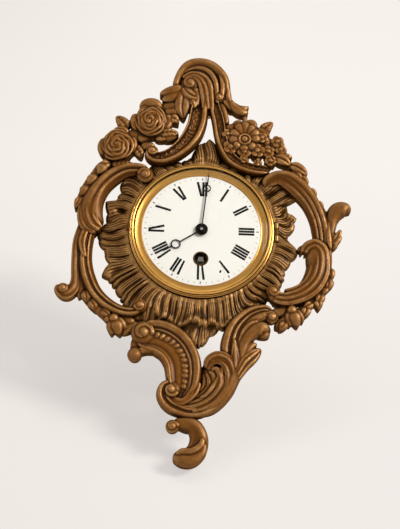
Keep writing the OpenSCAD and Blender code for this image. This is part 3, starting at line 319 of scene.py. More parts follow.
# A casting gathers closed patches drawn in mm: x, y, and height over the dial plane. Its back lies below.
class Casting:
    DEEPEST = 7.0  # half width beyond which a section gets no deeper
    INSET = 2.4  # most that a wall leans in towards the back
    LEAN = 0.42  # the same as a share of the half width

    def __init__(self, back):
        self.back = back
        self.points = []
        self.quads = []
        self.caps = []
        self.count = 0

    def add(self, points, quads, caps):
        caps = np.asarray(caps, int).reshape(-1, 3)
        tri = np.vstack([quads[:, [0, 1, 2]], quads[:, [0, 2, 3]], caps])
        a, b, c = (points[tri[:, k]] for k in range(3))
        if np.einsum("ij,ij->i", a, np.cross(b, c)).sum() < 0:
            quads = quads[:, ::-1]
            caps = caps[:, ::-1]
        self.points.append(points)
        self.quads.append(quads + self.count)
        self.caps.append(caps + self.count)
        self.count += len(points)

    # A patch of rings that ends in a point on both sides
    def add_shut(self, rings, first, last):
        n, r = rings.shape[:2]
        j = np.arange(r)
        beside = (j + 1) % r
        start = (n - 1) * r
        caps = np.vstack([np.column_stack([np.full(r, n * r), beside, j]),
                          np.column_stack([np.full(r, n * r + 1), start + j, start + beside])])
        self.add(np.vstack([rings.reshape(-1, 3), first, last]), ring_faces(n, r, False), caps)

    # A bar swept along control points of x, y, half width and front height, with m facets across.
    # Its section may change to another one, be stippled between two places across, or be veined.
    def stroke(self, ctrl, section, m=30, step=0.7, stipple=None, veins=None, to=None):
        p, run = route(ctrl, step)
        n = len(p)
        d = heading(p)
        half = p[:, 2]
        taper = np.ones(n)
        for away in (run, run[-1] - run):
            near = np.clip(away / np.maximum(half, 0.5), 0, 1)
            taper *= np.sqrt(np.clip(1 - (1 - near) ** 2, 0.004, 1))
        depth = np.minimum(half, self.DEEPEST)
        u = np.sin(np.linspace(-PI / 2, PI / 2, m + 1)) * 0.6 + np.linspace(-1, 1, m + 1) * 0.4
        late = np.clip(run / run[-1] * 1.4 - 0.2, 0, 1)[:, None]
        drop = (bend(section, u) * (1 - late) + bend(to or section, u) * late) * depth[:, None]
        top = p[:, 3][:, None] - drop - ((1 - taper) * 0.75 * depth)[:, None]
        if stipple:
            start, end, rough = stipple
            here = (u > start) & (u < end)
            k = int(here.sum())
            pits = rng.uniform(-1, 1, (n // 2 + 1, k // 2 + 1)).repeat(2, 0).repeat(2, 1)[:n, :k]
            top[:, here] += pits * rough
        if veins:
            pitch, height, slant = veins
            wave = 0.5 - 0.5 * np.cos(2 * PI * (run[:, None] / pitch - np.abs(u) * slant))
            top -= height * wave * (1 - u ** 4)
        wide = (half * taper)[:, None]
        down = np.array([0.25, 0.5, 0.75, 1.0])
        inset = np.minimum(self.INSET, half * self.LEAN)[:, None] * down * down * taper[:, None]
        left = top[:, :1] * (1 - down) - self.back * down
        right = top[:, -1:] * (1 - down) - self.back * down
        off = np.hstack([-wide + inset[:, ::-1], wide * u, wide - inset])
        x = p[:, :1] - d[:, 1:] * off
        y = p[:, 1:2] + d[:, :1] * off
        rings = np.stack([x, y, np.hstack([left[:, ::-1], top, right])], -1)
        self.add_shut(rings, rings[0].mean(0), rings[-1].mean(0))

    # Bars of one section
    def bars(self, section, m, paths):
        for path in paths:
            self.stroke(path, section, m)

    # A patch on polar rings: drop(share of radius, angle) below the front, rim(angle) scales the radius
    def disc(self, x, y, size, front, drop, rim=np.ones_like, outward=16, around=48):
        a = np.linspace(0, 2 * PI, around, endpoint=False)
        share, angle = np.meshgrid(np.linspace(0, 1, outward + 1)[1:], a, indexing="ij")
        height = front - drop(share, angle)
        down = np.array([0.4, 0.75, 1.0])[:, None]
        wall = size * rim(a) - min(self.INSET, self.LEAN * size) * down * down
        r = np.vstack([size * share * rim(a), wall])
        z = np.vstack([height, height[-1] * (1 - down) - self.back * down])
        middle = front - drop(np.array([[1e-4]]), np.array([[0.0]]))[0, 0]
        rings = np.stack([x + r * np.cos(a), y + r * np.sin(a), z], -1)
        self.add_shut(rings, [x, y, middle], [x, y, -self.back])

    def ball(self, x, y, r, front, squash=0.9):
        depth = squash * min(r, self.DEEPEST)
        self.disc(x, y, r, front, lambda s, a: depth * (1 - np.sqrt(1 - (0.985 * s) ** 2)),
                  outward=12, around=36)

    # The rolled end of a scroll: a bar that winds inwards from an angle, clockwise for hand 1, round an eye
    def volute(self, x, y, r, front, start, hand, turns=0.85):
        w = 0.28 * r
        self.ball(x, y, r, front - 1.0, 0.5)
        path = []
        for f in np.linspace(0, 1, 14):
            a = math.radians(start) - hand * 2 * PI * turns * f
            path.append([*polar(x, y, r - w - 0.5 * r * f, a), w * (1 - 0.1 * f), front - 0.8 + 0.8 * f])
        self.stroke(path, KEEL, 14, step=0.4)
        self.ball(x, y, 0.6 * r, front + 0.3)

    # A rose: a dome with the lips of overlapping petals curled round its heart, which may lie off centre
    def rose(self, x, y, r, front, spin, off):
        def dome(s):
            return 0.36 * r * (1 - np.sqrt(1 - 0.9 * s ** 2.4))

        def drop(s, a):
            return dome(s) + 0.25 * np.cos(5 * a + spin) * s ** 3

        def edge(a):
            return (0.94 + 0.06 * np.abs(np.cos(2.5 * a + spin * 6)) ** 0.6) * (1 - 0.1 * np.cos(a) ** 2)

        self.disc(x, y, r, front - 2.2, drop, edge, 30, 90)
        rings = ((0.88, 4), (0.73, 3), (0.59, 3), (0.46, 3), (0.34, 2), (0.22, 2), (0.1, 1))
        for k, (ring, petals) in enumerate(rings):
            turn = 2 * PI / petals
            for i in range(petals):
                start = turn * i + spin * 7 + 1.3 * k + rng.uniform(-0.2, 0.2)
                sweep = turn * rng.uniform(1.15, 1.4)
                wave = rng.uniform(0, 6)
                lip = []
                for f in np.linspace(0, 1, 9):
                    a = start + sweep * f
                    d = r * max(ring + 0.11 * (0.5 - f) + 0.03 * math.sin(4 * a + wave), 0.02)
                    lip.append([x + off[0] * r * (1 - ring) + 0.9 * d * math.cos(a),
                                y + off[1] * r * (1 - ring) + d * math.sin(a),
                                r * (0.045 + 0.035 * math.sin(PI * f) ** 0.6),
                                front - dome(min(d / r, 1)) - 1.6 + 1.8 * math.sin(PI * (0.1 + 0.7 * f))])
                self.stroke(lip, KEEL, 14, step=0.5)

    # A bud or leaf along a direction, bowed a little to the left
    def leaf(self, x, y, length, w, angle, front, section, veins=None):
        c, s = math.cos(math.radians(angle)), math.sin(math.radians(angle))

        def at(share, bow):
            return x + share * length * c - bow * length * s, y + share * length * s + bow * length * c

        path = [[x, y, w * 0.55, front - 1.2], [*at(0.3, 0.06), w, front],
                [*at(0.68, 0.06), w * 0.82, front], [*at(1, 0), w * 0.2, front - 1.4]]
        self.stroke(path, section, 18, step=0.5, veins=veins)

    def leaves(self, section, rows):
        for row in rows:
            self.leaf(*row, section)

    # A petal hollowed like a spoon, its lip highest away from the heart of the flower
    def cup(self, x, y, r, front, angle):
        def drop(s, a):
            out = 0.5 + 0.5 * np.cos(a - angle)
            lip = np.clip((s - 0.62) / 0.38, 0, 1) ** 2
            return 0.13 * r * (1 - s ** 2) * out + 0.34 * r * (1 - out) * s + 0.62 * r * lip

        self.disc(x, y, r, front, drop, lambda a: 1 - 0.06 * np.cos(3 * (a - angle)), around=40)

    # A flower of cupped petals round a small ringed heart
    def bloom(self, x, y, r, petals, front, turn):
        for i in range(petals):
            a = math.radians(turn + i * 360 / petals)
            self.cup(*polar(x, y, 0.56 * r, a), 0.5 * r, front - 0.3 * (i % 2), a)
        k = 0.3 * r

        def drop(s, a):
            return 0.9 * np.clip(s - 0.78, 0, 1) * k + 0.28 * k * np.exp(-((s - 0.55) / 0.14) ** 2)

        self.disc(x, y, k, front + 0.5, drop, around=36)

    # A bell flower: side petals under a broad middle one, from a calyx
    def bell(self, x, y, r, angle, front):
        petals = ((-34, 0.94, 0.34, -0.8), (36, 0.94, 0.34, -0.8), (2, 1.04, 0.42, 0.2))
        for turn, length, w, rise in petals:
            a, tip = math.radians(angle + turn), math.radians(angle + turn * 0.8)
            h = front + rise
            self.stroke([[x, y, 0.26 * r, h - 0.4], [*polar(x, y, 0.5 * r * length, a), w * r, h],
                         [*polar(x, y, r * length, tip), 0.12 * r, h - 1.4]], ROLL, 16, step=0.5)
        self.ball(x, y, 0.32 * r, front + 0.5)

    # A ring turned from a closed section of radius and height; or, at an x and height, a pipe laid along y
    def lathe(self, section, n=720, at=None):
        a = np.linspace(0, 2 * PI, n, endpoint=False)[:, None]
        r, h = np.array(section, float).T
        along = h * np.ones_like(a)
        if at:
            points = np.stack([at[0] + r * np.cos(a), along, at[1] + r * np.sin(a)], -1)
        else:
            points = np.stack([r * np.cos(a), r * np.sin(a), along], -1)
        self.add(points.reshape(-1, 3), ring_faces(n, len(section), True), [])

    # A small block with broken edges
    def block(self, x0, x1, y0, y1, h0, h1, edge):
        points = [[x, y, h] for d, h in ((edge, h0), (0, h0 + edge), (0, h1 - edge), (edge, h1))
                  for x, y in ((x0 + d, y0 + d), (x1 - d, y0 + d), (x1 - d, y1 - d), (x0 + d, y1 - d))]
        ends = [[3, 2, 1, 0], [12, 13, 14, 15]]
        self.add(np.array(points), np.vstack([ring_faces(4, 4, False), ends]), [])

    # The finished piece, melted into one skin by voxels of so many mm, unless skin is 0
    def make(self, name, node, shade=BRONZE, body="case", slot="bronze", skin=0.42):
        v = np.vstack(self.points)
        co = np.column_stack([v[:, 0], -STAND - v[:, 2], v[:, 1]]) / 1000
        faces = np.vstack(self.quads).tolist() + np.vstack(self.caps).tolist()
        ob = piece(name, co, faces, shade, body, (node,))
        if skin:
            mod = ob.modifiers.new("skin", "REMESH")
            mod.mode = "VOXEL"
            mod.voxel_size = skin / 1000
            me = bpy.data.meshes.new_from_object(ob.evaluated_get(bpy.context.evaluated_depsgraph_get()))
            ob.modifiers.clear()
            ob.data = me
            me.polygons.foreach_set("use_smooth", [True] * len(me.polygons))
        if slot == "bronze":
            wear(ob.data, 3 if skin else 0)


RIDGE_RANGE = 0.0003  # m of relief from a full hollow to a full ridge


# Soften a mesh a little, and store how far each point stands out from its surroundings
def wear(me, soften):
    n = len(me.vertices)
    co = np.empty(n * 3)
    ends = np.empty(len(me.edges) * 2, np.int32)
    me.vertices.foreach_get("co", co)
    me.edges.foreach_get("vertices", ends)
    co = co.reshape(-1, 3)
    a, b = ends[::2], ends[1::2]
    count = np.maximum(np.bincount(ends, minlength=n), 1)[:, None]

    def relax(x, times, share):
        for _ in range(times):
            near = np.stack([np.bincount(a, x[b, i], n) + np.bincount(b, x[a, i], n) for i in range(3)], 1)
            x = x + share * (near / count - x)
        return x

    co = relax(co, soften, 0.5)
    me.vertices.foreach_set("co", co.ravel())
    me.update()
    normal = np.empty(n * 3)
    me.vertices.foreach_get("normal", normal)
    out = np.einsum("ij,ij->i", co - relax(co, 12, 0.6), normal.reshape(-1, 3)) / RIDGE_RANGE
    ridge = np.clip(0.5 + out, 0, 1).astype(np.float32)
    me.attributes.new("ridge", "FLOAT", "POINT").data.foreach_set("value", ridge)


# A mesh that rides on a body, with its one material, hiding the CAD nodes that it stands for
def piece(name, co, faces, shade, body, nodes=(), sharp=55):
    me = bpy.data.meshes.new(name)
    me.from_pydata(np.asarray(co, float).tolist(), [], faces)
    me.polygons.foreach_set("use_smooth", [True] * len(me.polygons))
    me.set_sharp_from_angle(angle=math.radians(sharp))
    me.materials.append(shade)
    ob = bpy.data.objects.new(name, me)
    scene.collection.objects.link(ob)
    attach(ob, body)
    if nodes:
        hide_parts(*nodes)
    return ob


# A section turned left to right
def flip(section):
    return [(-u, d) for u, d in reversed(section)]


# A section with two like halves, given from its middle to its edge
def mirrored(half):
    return flip(half[1:]) + half


# Cross sections: place across the bar from -1 (right of its run) to 1, and depth below the front
ROLL = mirrored([(0, 0), (.35, .03), (.65, .14), (.85, .33), (.96, .6), (1, .95)])
KEEL = mirrored([(0, 0), (.1, .03), (.5, .2), (.92, .5), (1, .85)])
LEAF = mirrored([(0, .24), (.05, .19), (.14, .1), (.3, .05), (.55, .06), (.8, .16), (.95, .34), (1, .6)])
SCROLL = [(-1, 1), (-.97, .6), (-.88, .3), (-.72, .08), (-.5, 0), (-.28, .06), (-.12, .22), (-.02, .36),
          (.06, .4), (.14, .3), (.24, .18), (.36, .14), (.5, .24), (.66, .46), (.82, .7), (.94, .86),
          (1, 1.2)]
STRAND = [(-1, .95), (-.97, .5), (-.92, .2), (-.85, .08), (-.78, .1), (-.7, .28), (-.62, .44), (-.4, .52),
          (-.1, .54), (.14, .48), (.26, .34), (.36, .14), (.5, .02), (.64, 0), (.78, .06), (.9, .26),
          (.97, .6), (1, .95)]
ARCH = [(-1, .9), (-.95, .62), (-.86, .5), (-.7, .46), (-.4, .5), (-.15, .52), (.04, .44), (.16, .22),
        (.28, .1), (.42, .02), (.58, 0), (.74, .06), (.86, .2), (.95, .5), (1, .9)]
TRIPLE = [(-1, 1.15), (-.95, .8), (-.85, .58), (-.7, .36), (-.58, .2), (-.5, .16), (-.42, .22), (-.34, .34),
          (-.26, .2), (-.14, .08), (0, .05), (.1, .14), (.18, .24), (.26, .12), (.42, .01), (.58, 0),
          (.74, .07), (.88, .3), (.96, .58), (1, .95)]
STEM = [(-1, .9), (-.96, .5), (-.86, .24), (-.65, .08), (-.4, 0), (-.15, .03), (.02, .16), (.1, .28),
        (.18, .16), (.28, .1), (.36, .2), (.42, .34), (.5, .18), (.64, .08), (.78, .1), (.9, .26),
        (.97, .55), (1, .9)]
BAND = [(-1, .8), (-.98, .42), (-.93, .16), (-.86, .04), (-.78, 0), (-.7, .04), (-.64, .16), (-.6, .13),
        (-.56, .19), (-.5, .24), (-.35, .22), (-.15, .23), (-.1, .25), (.1, .29), (.26, .32), (.31, .31),
        (.36, .22), (.42, .18), (.47, .28), (.51, .22), (.58, .06), (.7, 0), (.82, .02), (.92, .16),
        (.97, .4), (1, .8)]
HOOK = [(-1, .95), (-.95, .62), (-.8, .44), (-.5, .36), (-.2, .28), (.1, .12), (.35, .01), (.55, 0),
        (.75, .1), (.9, .35), (1, .95)]
VEINS = (3, .3, .7)  # pitch, height and slant on a leaf

# Ray panel round the bezel: its edge anticlockwise from the left end, and pits of x, y, depth and width
EDGE = [[-76, -9], [-70, -20], [-68, -28], [-71, -38], [-64, -43], [-60, -50], [-56, -57], [-48, -70],
        [-33, -75], [-14, -80], [1, -90], [9, -80], [14, -76], [19, -75], [30, -66], [42, -58], [52, -50],
        [58, -42], [60, -38], [62, -30], [65, -24], [72, -14], [66, -6], [64, -3], [68, 4], [70, 13],
        [68, 16], [64, 19], [63, 24], [71, 29], [67, 37], [60, 43], [51, 47], [40, 50], [28, 55], [17, 62],
        [10, 70], [4.5, 76], [-3, 71], [-12, 58], [-22, 57], [-33, 55.5], [-42, 50], [-52, 45], [-61, 38],
        [-61.5, 30], [-63, 25], [-71, 21], [-71, 12], [-70, 5], [-75, .5]]
PITS = [(-59, 13.5, 4, 3), (50, 31, 3, 4.4), (-66, -4, 1.3, 4), (-60, -33, 1.4, 4), (-46, -51, 1.2, 4),
        (62, 11, 1.5, 3.4), (62.5, -12.5, 1.5, 4)]
RAY_START = 53.6  # radius at the bezel, where the ribs begin
RAY_HOLE = 46.5  # radius of the hole for the drum
RAY_TOP = 1.8  # highest rib over the dial plane
RAY_RIM = -5.6  # lowest front, at the outer edge
RAY_SEAT = -3.0  # step under the bezel
RAY_BACK = -7.5
FIRST_ANGLE = -173  # degrees, at the first point of the edge


def rays():
    around, outward = 1260, 26
    a = np.linspace(FIRST_ANGLE, FIRST_ANGLE + 360, around, endpoint=False)
    rad = np.radians(a)
    edge = np.array(EDGE, float)
    reach = np.hypot(*edge.T)
    angle = np.degrees(np.arctan2(edge[:, 1], edge[:, 0]))
    angle[angle < angle[0]] += 360
    rim = np.interp(a, np.append(angle, angle[0] + 360), np.append(reach, reach[0]))
    cuts = [0.0]
    while cuts[-1] < 354:
        bottom = 23 < cuts[-1] < 143
        cuts.append(cuts[-1] + (rng.uniform(2.6, 6.2) if bottom else rng.uniform(5.5, 11.5)))
    cuts = np.array(cuts) * 360 / cuts[-1]
    tall = rng.uniform(1.3, 2.7, len(cuts))
    sunk = np.where(rng.random(len(cuts)) < 0.25, -1.3, 0.0)
    sway = rng.uniform(-1.5, 1.5, len(cuts))
    fine = np.round(np.diff(np.append(cuts, 362)) / 1.9).astype(int) + rng.integers(0, 2, len(cuts))

    # How far the edge stands out from its mean over 20 degrees to each side, and 1 at the pendant below
    near = around // 18
    window = np.ones(2 * near + 1) / (2 * near + 1)
    lobe = np.clip((rim - np.convolve(np.pad(rim, near, "wrap"), window, "valid")) / 4, -1, 1)
    pendant = np.exp(-((a + 91) / 24) ** 4)

    # The rib at an angle, and the share of its width
    def rib(at):
        at = (at - FIRST_ANGLE) % 360
        i = np.clip(np.searchsorted(cuts, at, side="right") - 1, 0, len(cuts) - 2)
        return i, (at - cuts[i]) / (cuts[i + 1] - cuts[i])

    i, s = rib(a)
    ragged = np.maximum(rim + 0.35 * (tall[i] - 1.2) - 2.3 * (1 - np.sin(PI * s) ** 0.5), RAY_START + 3)
    rows = []
    for k in range(outward + 1):
        f = k / outward
        r = RAY_START + (ragged - RAY_START) * f
        fringe = 73 + 2.2 * np.sin(rad * 13) + 1.5 * np.sin(rad * 29 + 1 + 2 * f)
        below = pendant * np.clip((r - fringe) / 1.6, 0, 1)
        shift = 3.0 * np.sin(rad * 5 + 3.0 * f) * f + 1.8 * f * np.sin(rad * 11 + 2 * f) + 4 * below
        i, s = rib(a + shift)
        h = tall[i] * (1 - 0.3 * pendant) * np.sin(PI * s ** (1 + 0.2 * sway[i])) ** 0.75
        h = h - 0.5 * np.abs(np.sin(PI * s * fine[i] + sway[i] * f)) ** 5 * np.sin(PI * s) ** 0.4
        full = np.clip(f * 4, 0.35, 1) * (1 - 0.25 * f)
        z = (h + sunk[i] * np.sin(PI * min(f * 1.2, 1))) * full - 0.4 - 1.1 * f - 2.2 * f * f
        z += (0.8 * np.sin(rad * 9 + 1.0) + 0.7 * np.sin(rad * 16 + 2.4 + 1.5 * f)) * f * (1 - 0.4 * f)
        x, y = r * np.cos(rad), r * np.sin(rad)
        for px, py, depth, width in PITS:
            out = math.hypot(px, py)
            away = np.hypot((x * px + y * py) / out - out, 2.2 * (y * px - x * py) / out)
            z -= depth * np.exp(-(away / (1.7 * width)) ** 2 * 1.6)
        z += 1.9 * lobe * f ** 1.5 - 1.1 * max(0, (f - 0.9) / 0.1) ** 2
        z += pendant * (1.3 * np.exp(-((r - fringe + 1.8) / 2.6) ** 2) - 0.4) - 1.3 * below
        rows.append((r, np.clip(z, RAY_RIM, RAY_TOP)))
    rows += [(ragged - 0.1, RAY_RIM), (ragged - 0.4, RAY_BACK), (RAY_HOLE, RAY_BACK), (RAY_HOLE, RAY_SEAT),
             (RAY_START, RAY_SEAT)]
    rings = [np.column_stack([r * np.cos(rad), r * np.sin(rad), np.broadcast_to(z, around)])
             for r, z in rows]
    c = Casting(-RAY_BACK)
    c.add(np.vstack(rings), ring_faces(len(rings), around, True), [])
    c.make("ray_panel", "rocaille_surround", GOLDEN, skin=0)


rays()

# Crest with its two strands, arch, volute and leaves
c = Casting(7.4)
c.stroke([
    [-4, 124, 5, 3], [-3, 110, 5, 5], [-4, 98, 7, 6], [-5.5, 86, 7.5, 6.5], [-9.5, 75, 7.5, 6.5],
    [-16.6, 65.2, 6.4, 6.5], [-25.4, 58, 5.4, 6.5], [-33.6, 55.6, 4.9, 6], [-39.5, 58.2, 4.6, 5.5],
    [-40, 63, 3, 5]
], STRAND, 40, stipple=(-.6, .1, .42))
c.volute(-38.4, 61.4, 4.6, 6.6, 10, 1)
c.stroke([
    [5, 124, 5, 3], [6.8, 105, 4.2, 5], [10.5, 89, 4.8, 6], [13, 73.5, 4.6, 6.5], [18, 61, 4.6, 6.5],
    [25, 54, 4.3, 6], [36, 50, 4.2, 5.5], [46, 49.3, 4, 4.2], [50, 49.4, 3, 3]
], flip(STRAND), 36, stipple=(-.1, .6, .3))
c.stroke([
    [-19, 112, 5, 3], [-18.2, 123, 6.6, 5], [-10.5, 133.4, 8.7, 6.5], [1, 133.8, 9.1, 6.5],
    [10, 126, 8.4, 6], [13.6, 114.5, 6.8, 5], [17.5, 106, 5.2, 3.5], [26, 102, 3.4, 2], [33, 103.5, 1.4, 1]
], ARCH, 44)
c.stroke([
    [-14, 124, 7, 4], [-8, 127.6, 9, 4.2], [0, 128, 10, 4.2], [7, 118, 9, 4], [9, 106, 6, 3]
], ROLL, 30)
c.bars(KEEL, 18, [
    [[6.4, 96, 1.2, 5], [5.2, 108, 1.7, 6.2], [4, 118, 1.9, 6.6], [.6, 124.6, 1.9, 6.6],
     [-5, 128.4, 1.8, 6.4], [-12, 128.6, 1.6, 6], [-17.6, 124.6, 1.2, 5.4]],
    [[2.6, 98, 1.2, 5.4], [1.2, 111, 1.7, 6.4], [-.8, 119, 1.8, 6.8], [-4.4, 124.2, 1.8, 6.8],
     [-9.6, 126.4, 1.6, 6.4], [-15.4, 124.8, 1.2, 5.8]],
    [[-.8, 98, 1.1, 5.6], [-2.4, 112, 1.6, 6.4], [-4, 118.6, 1.6, 6.8], [-6.6, 122.8, 1.4, 6.8],
     [-10, 124.4, 1.2, 6.6]],
    [[9.4, 104, 1.2, 4.6], [9, 114, 1.8, 5.4], [7.6, 123, 2, 5.8], [3.4, 130.4, 2, 5.8],
     [-3.6, 134, 1.8, 5.6], [-11, 133.4, 1.5, 5.2], [-18, 129, 1, 4.6]],
    [[-10.6, 108, 2.4, 5.2], [-8.4, 103.4, 3, 5.8], [-7.4, 98.6, 1, 4.6]],
])
c.bars(ROLL, 18, [
    [[-7, 100, 3, 4.6], [-6.4, 110, 3.4, 5.4], [-7, 117, 2.6, 5.6]],
    [[12, 106, 3, 2.6], [15, 97, 3, 3], [17, 87, 2.6, 3]],
])
c.volute(-11.4, 120.2, 7, 7.2, 20, -1, 1)
c.stroke([
    [-17, 117, 2.4, 5.4], [-13, 111.4, 4.4, 6.2], [-8, 108.6, 3.8, 5.8], [-4.4, 109.6, 1.6, 5]
], LEAF, 18)
c.bars(KEEL, 14, [
    [[10.4, 131, 1, 5], [13, 122, 1.6, 6.2], [13.4, 113.6, 1.8, 6], [12, 106.6, 1.4, 4.6]],
    [[15.4, 126, 1, 4], [17, 117, 2.1, 5], [18, 110, 2.2, 4.6], [20.6, 104, 1.7, 3.6],
     [21.4, 99.6, .8, 2.2]],
])
c.stroke([
    [19, 107, 2.6, 4], [23.6, 101, 3.6, 4.4], [28.6, 98.4, 3.8, 4.2], [33.6, 98.2, 1.4, 2.8]
], ROLL, 20)
c.volute(10.8, 109.4, 4.4, 6, 90, 1)
c.stroke([[30.6, 96, 1.8, 1.6], [31.4, 91, 1.8, 2], [31, 86, 1.6, 2]], ROLL, 14)
c.stroke([[15, 108, 2.2, 4], [18.4, 103, 2, 3.8], [20.6, 99.4, 1, 2.6]], LEAF, 16)
c.stroke([[26, 101, 2, 3.6], [30.4, 101, 2, 3.8], [34, 103.4, .8, 2.4]], ROLL, 16)
c.bars(ROLL, 22, [
    [[-16, 117, 4, 4.8], [-24, 114, 4.8, 5.4], [-30, 112.2, 3.8, 4.6], [-34.6, 111.6, 1, 3.2]],
    [[-17, 112.6, 4, 4.4], [-24, 109.4, 4.8, 5], [-29, 107, 3.6, 4.2], [-32.4, 104.6, 1, 2.8]],
])
c.stroke([[-14, 119, 6, 4.6], [-16.4, 108, 6, 5.4], [-17, 98.5, 5.8, 4.8], [-15.5, 91, 2, 2.4]], LEAF, 26)
c.make("crest", "crest_scroll", skin=0.44)

# Left scrolls, stem and garland
c = Casting(7.3)
c.stroke([
    [-40.5, 44.5, 4, 5], [-48, 46, 4.8, 6], [-57, 45, 5.4, 6.5], [-66, 40, 6.2, 6.5], [-74.5, 31, 6.8, 6.5],
    [-80, 20, 8, 6.5], [-81.4, 8.6, 9, 6.5], [-79.2, 0, 8.6, 5], [-76, -5, 5, 3]
], SCROLL, 38, to=ROLL)
c.volute(-43, 41.4, 6.2, 6.9, 190, 1)
c.bars(ROLL, 16, [
    [[-85.6, -35, 2, 1.6], [-84.8, -46, 3, 2.2], [-84.8, -52, 2.8, 2], [-86.4, -56, 1.4, 1.4]],
    [[-68, 49, 4, 3], [-75, 48.6, 3.6, 3.6], [-81, 39.4, 3.4, 3.6], [-86.4, 30, 3, 3.6], [-91, 19, 2, 3]],
    [[-82, -50, 3, 3], [-78, -56, 3, 3.4], [-72.5, -63.5, 3, 4], [-65.5, -69.5, 3.4, 4],
     [-60, -75, 3.6, 4]],
    [[-62, -67, 3, 3], [-54, -71.5, 3.4, 3], [-45, -73, 3, 3]],
    [[-56, -80, 4, 3], [-48, -77, 4, 3], [-42, -74, 3, 3]],
])
c.bars(KEEL, 16, [
    [[-87.2, 22, 1, 4], [-88, 9, 3.2, 5.6], [-84.8, -2, 3.4, 5.8], [-76.6, -6.2, 1.6, 4.4]],
    [[-83, 23, 1, 5.6], [-83.8, 9, 3.3, 6.8], [-80.6, -.2, 3.2, 6.4], [-73.6, -4.4, 1.4, 4.6]],
    [[-78.2, 20, 1, 5], [-79.6, 8.4, 3, 6.4], [-76.8, 2, 2.6, 6], [-72, -2.4, 1, 4.4]],
])
c.stroke([
    [-85, 4, 4, 3], [-89.6, -12, 3.4, 3], [-90, -30, 3.2, 3], [-89.3, -42, 3.4, 3], [-90.5, -49, 5, 3.5],
    [-95, -53.2, 5.4, 4], [-100, -50.4, 4.2, 4], [-102, -46.6, 1.9, 3]
], KEEL, 26)
c.volute(-97.6, -49.8, 4.2, 5.2, 40, 1)
c.stroke([
    [-81, -3, 4.4, 4], [-82.6, -15, 4.4, 5], [-82.6, -28, 4.6, 6], [-80, -40, 5, 6.5],
    [-74.5, -51.5, 5, 6.5], [-66, -60, 4.8, 6.5], [-56, -65, 4.2, 6], [-47, -65.5, 3.8, 5.5],
    [-42, -62.5, 3, 5]
], SCROLL, 34)
c.stroke([[-84, -4, 2.6, 5], [-86, -14, 2.6, 5.6], [-84.6, -22, 2, 6.4], [-82.6, -26.6, .8, 6.2]], LEAF, 16)
c.volute(-42.4, -61.4, 5, 6.9, 170, -1)
c.leaves(ROLL, [(-73.6, 50.6, 11, 4.8, 245, 5.6), (-79.6, 41, 11, 4.6, 238, 5.4),
                (-85, 31.6, 10, 4.2, 240, 5.2)])
c.leaves(LEAF, [(-69, 51, 9, 4, 200, 5), (-89.6, 22.4, 10, 3.2, 248, 4.6), (-82.4, -51, 9, 4, 285, 5),
                (-78.4, -57.6, 9.4, 4, 300, 5.2), (-70, -65, 8.6, 3.4, 320, 5.2),
                (-66, -68.6, 8, 3.4, 300, 5)])
c.bell(-60.2, -71.6, 12, 292, 6)
c.make("left_scrolls", "left_scroll")

# Right scrolls, leaves and garland
c = Casting(7.3)
c.stroke([
    [46, 36, 3.2, 3.4], [49, 40.4, 5, 5], [56, 43.5, 5.8, 6], [64, 41.5, 7.4, 6.5], [72.4, 34.4, 7.6, 6.5],
    [79.8, 24.4, 6.8, 6.5], [85, 12, 6.4, 6.5], [87.6, 0, 6.4, 5.5], [88.2, -12, 5.6, 4]
], HOOK, 48, to=TRIPLE)
c.stroke([
    [91, -16, 3.4, 3], [92.5, -6, 4, 3], [94.6, 4, 4, 3.5], [96, 12, 5.2, 4], [100, 18.9, 6.5, 5],
    [106, 20.5, 5.3, 5], [110.2, 19, 2.2, 3]
], ROLL, 26)
c.bars(ROLL, 14, [
    [[86, 26, 2, 1], [89, 19, 2.6, 1.6], [91, 12, 2.4, 2]],
    [[96, -10, 2.4, 3.2], [100.4, -4.4, 2, 3], [103, -1.6, .8, 2]],
])
c.bars(ROLL, 16, [
    [[92.6, 9, .7, 4], [92.4, 2, 2, 5.6], [93, -6, 2.2, 5.6], [94, -13, 1.2, 4.4]],
    [[92, -10, 3.4, 3], [92.8, -22, 2.6, 3], [91.4, -32.5, 2.6, 3.2], [89.2, -41, 2.8, 3.4],
     [84, -51, 2.8, 3.4], [75, -58.4, 3, 3.6], [66, -64, 3, 3.8], [59.6, -69.6, 4, 3.6],
     [53.6, -73.4, 3.4, 3]],
    [[67, -58, 3.4, 3], [59, -61, 4.2, 3], [51, -63.5, 4, 3]],
])
c.stroke([[95, -12, 3.4, 3], [98.5, -4, 3.2, 3], [102.5, 4, 1, 2]], LEAF, 18)
c.stroke([
    [83, -7, 4.6, 5], [84, -18, 8, 6.5], [84.5, -29, 8.4, 6.5], [80, -41, 8.4, 6.5], [71.5, -49, 7.2, 6.5],
    [62, -52.5, 5.2, 6], [54, -52, 4.4, 5.5], [50.5, -47, 3.4, 5]
], ROLL, 36)
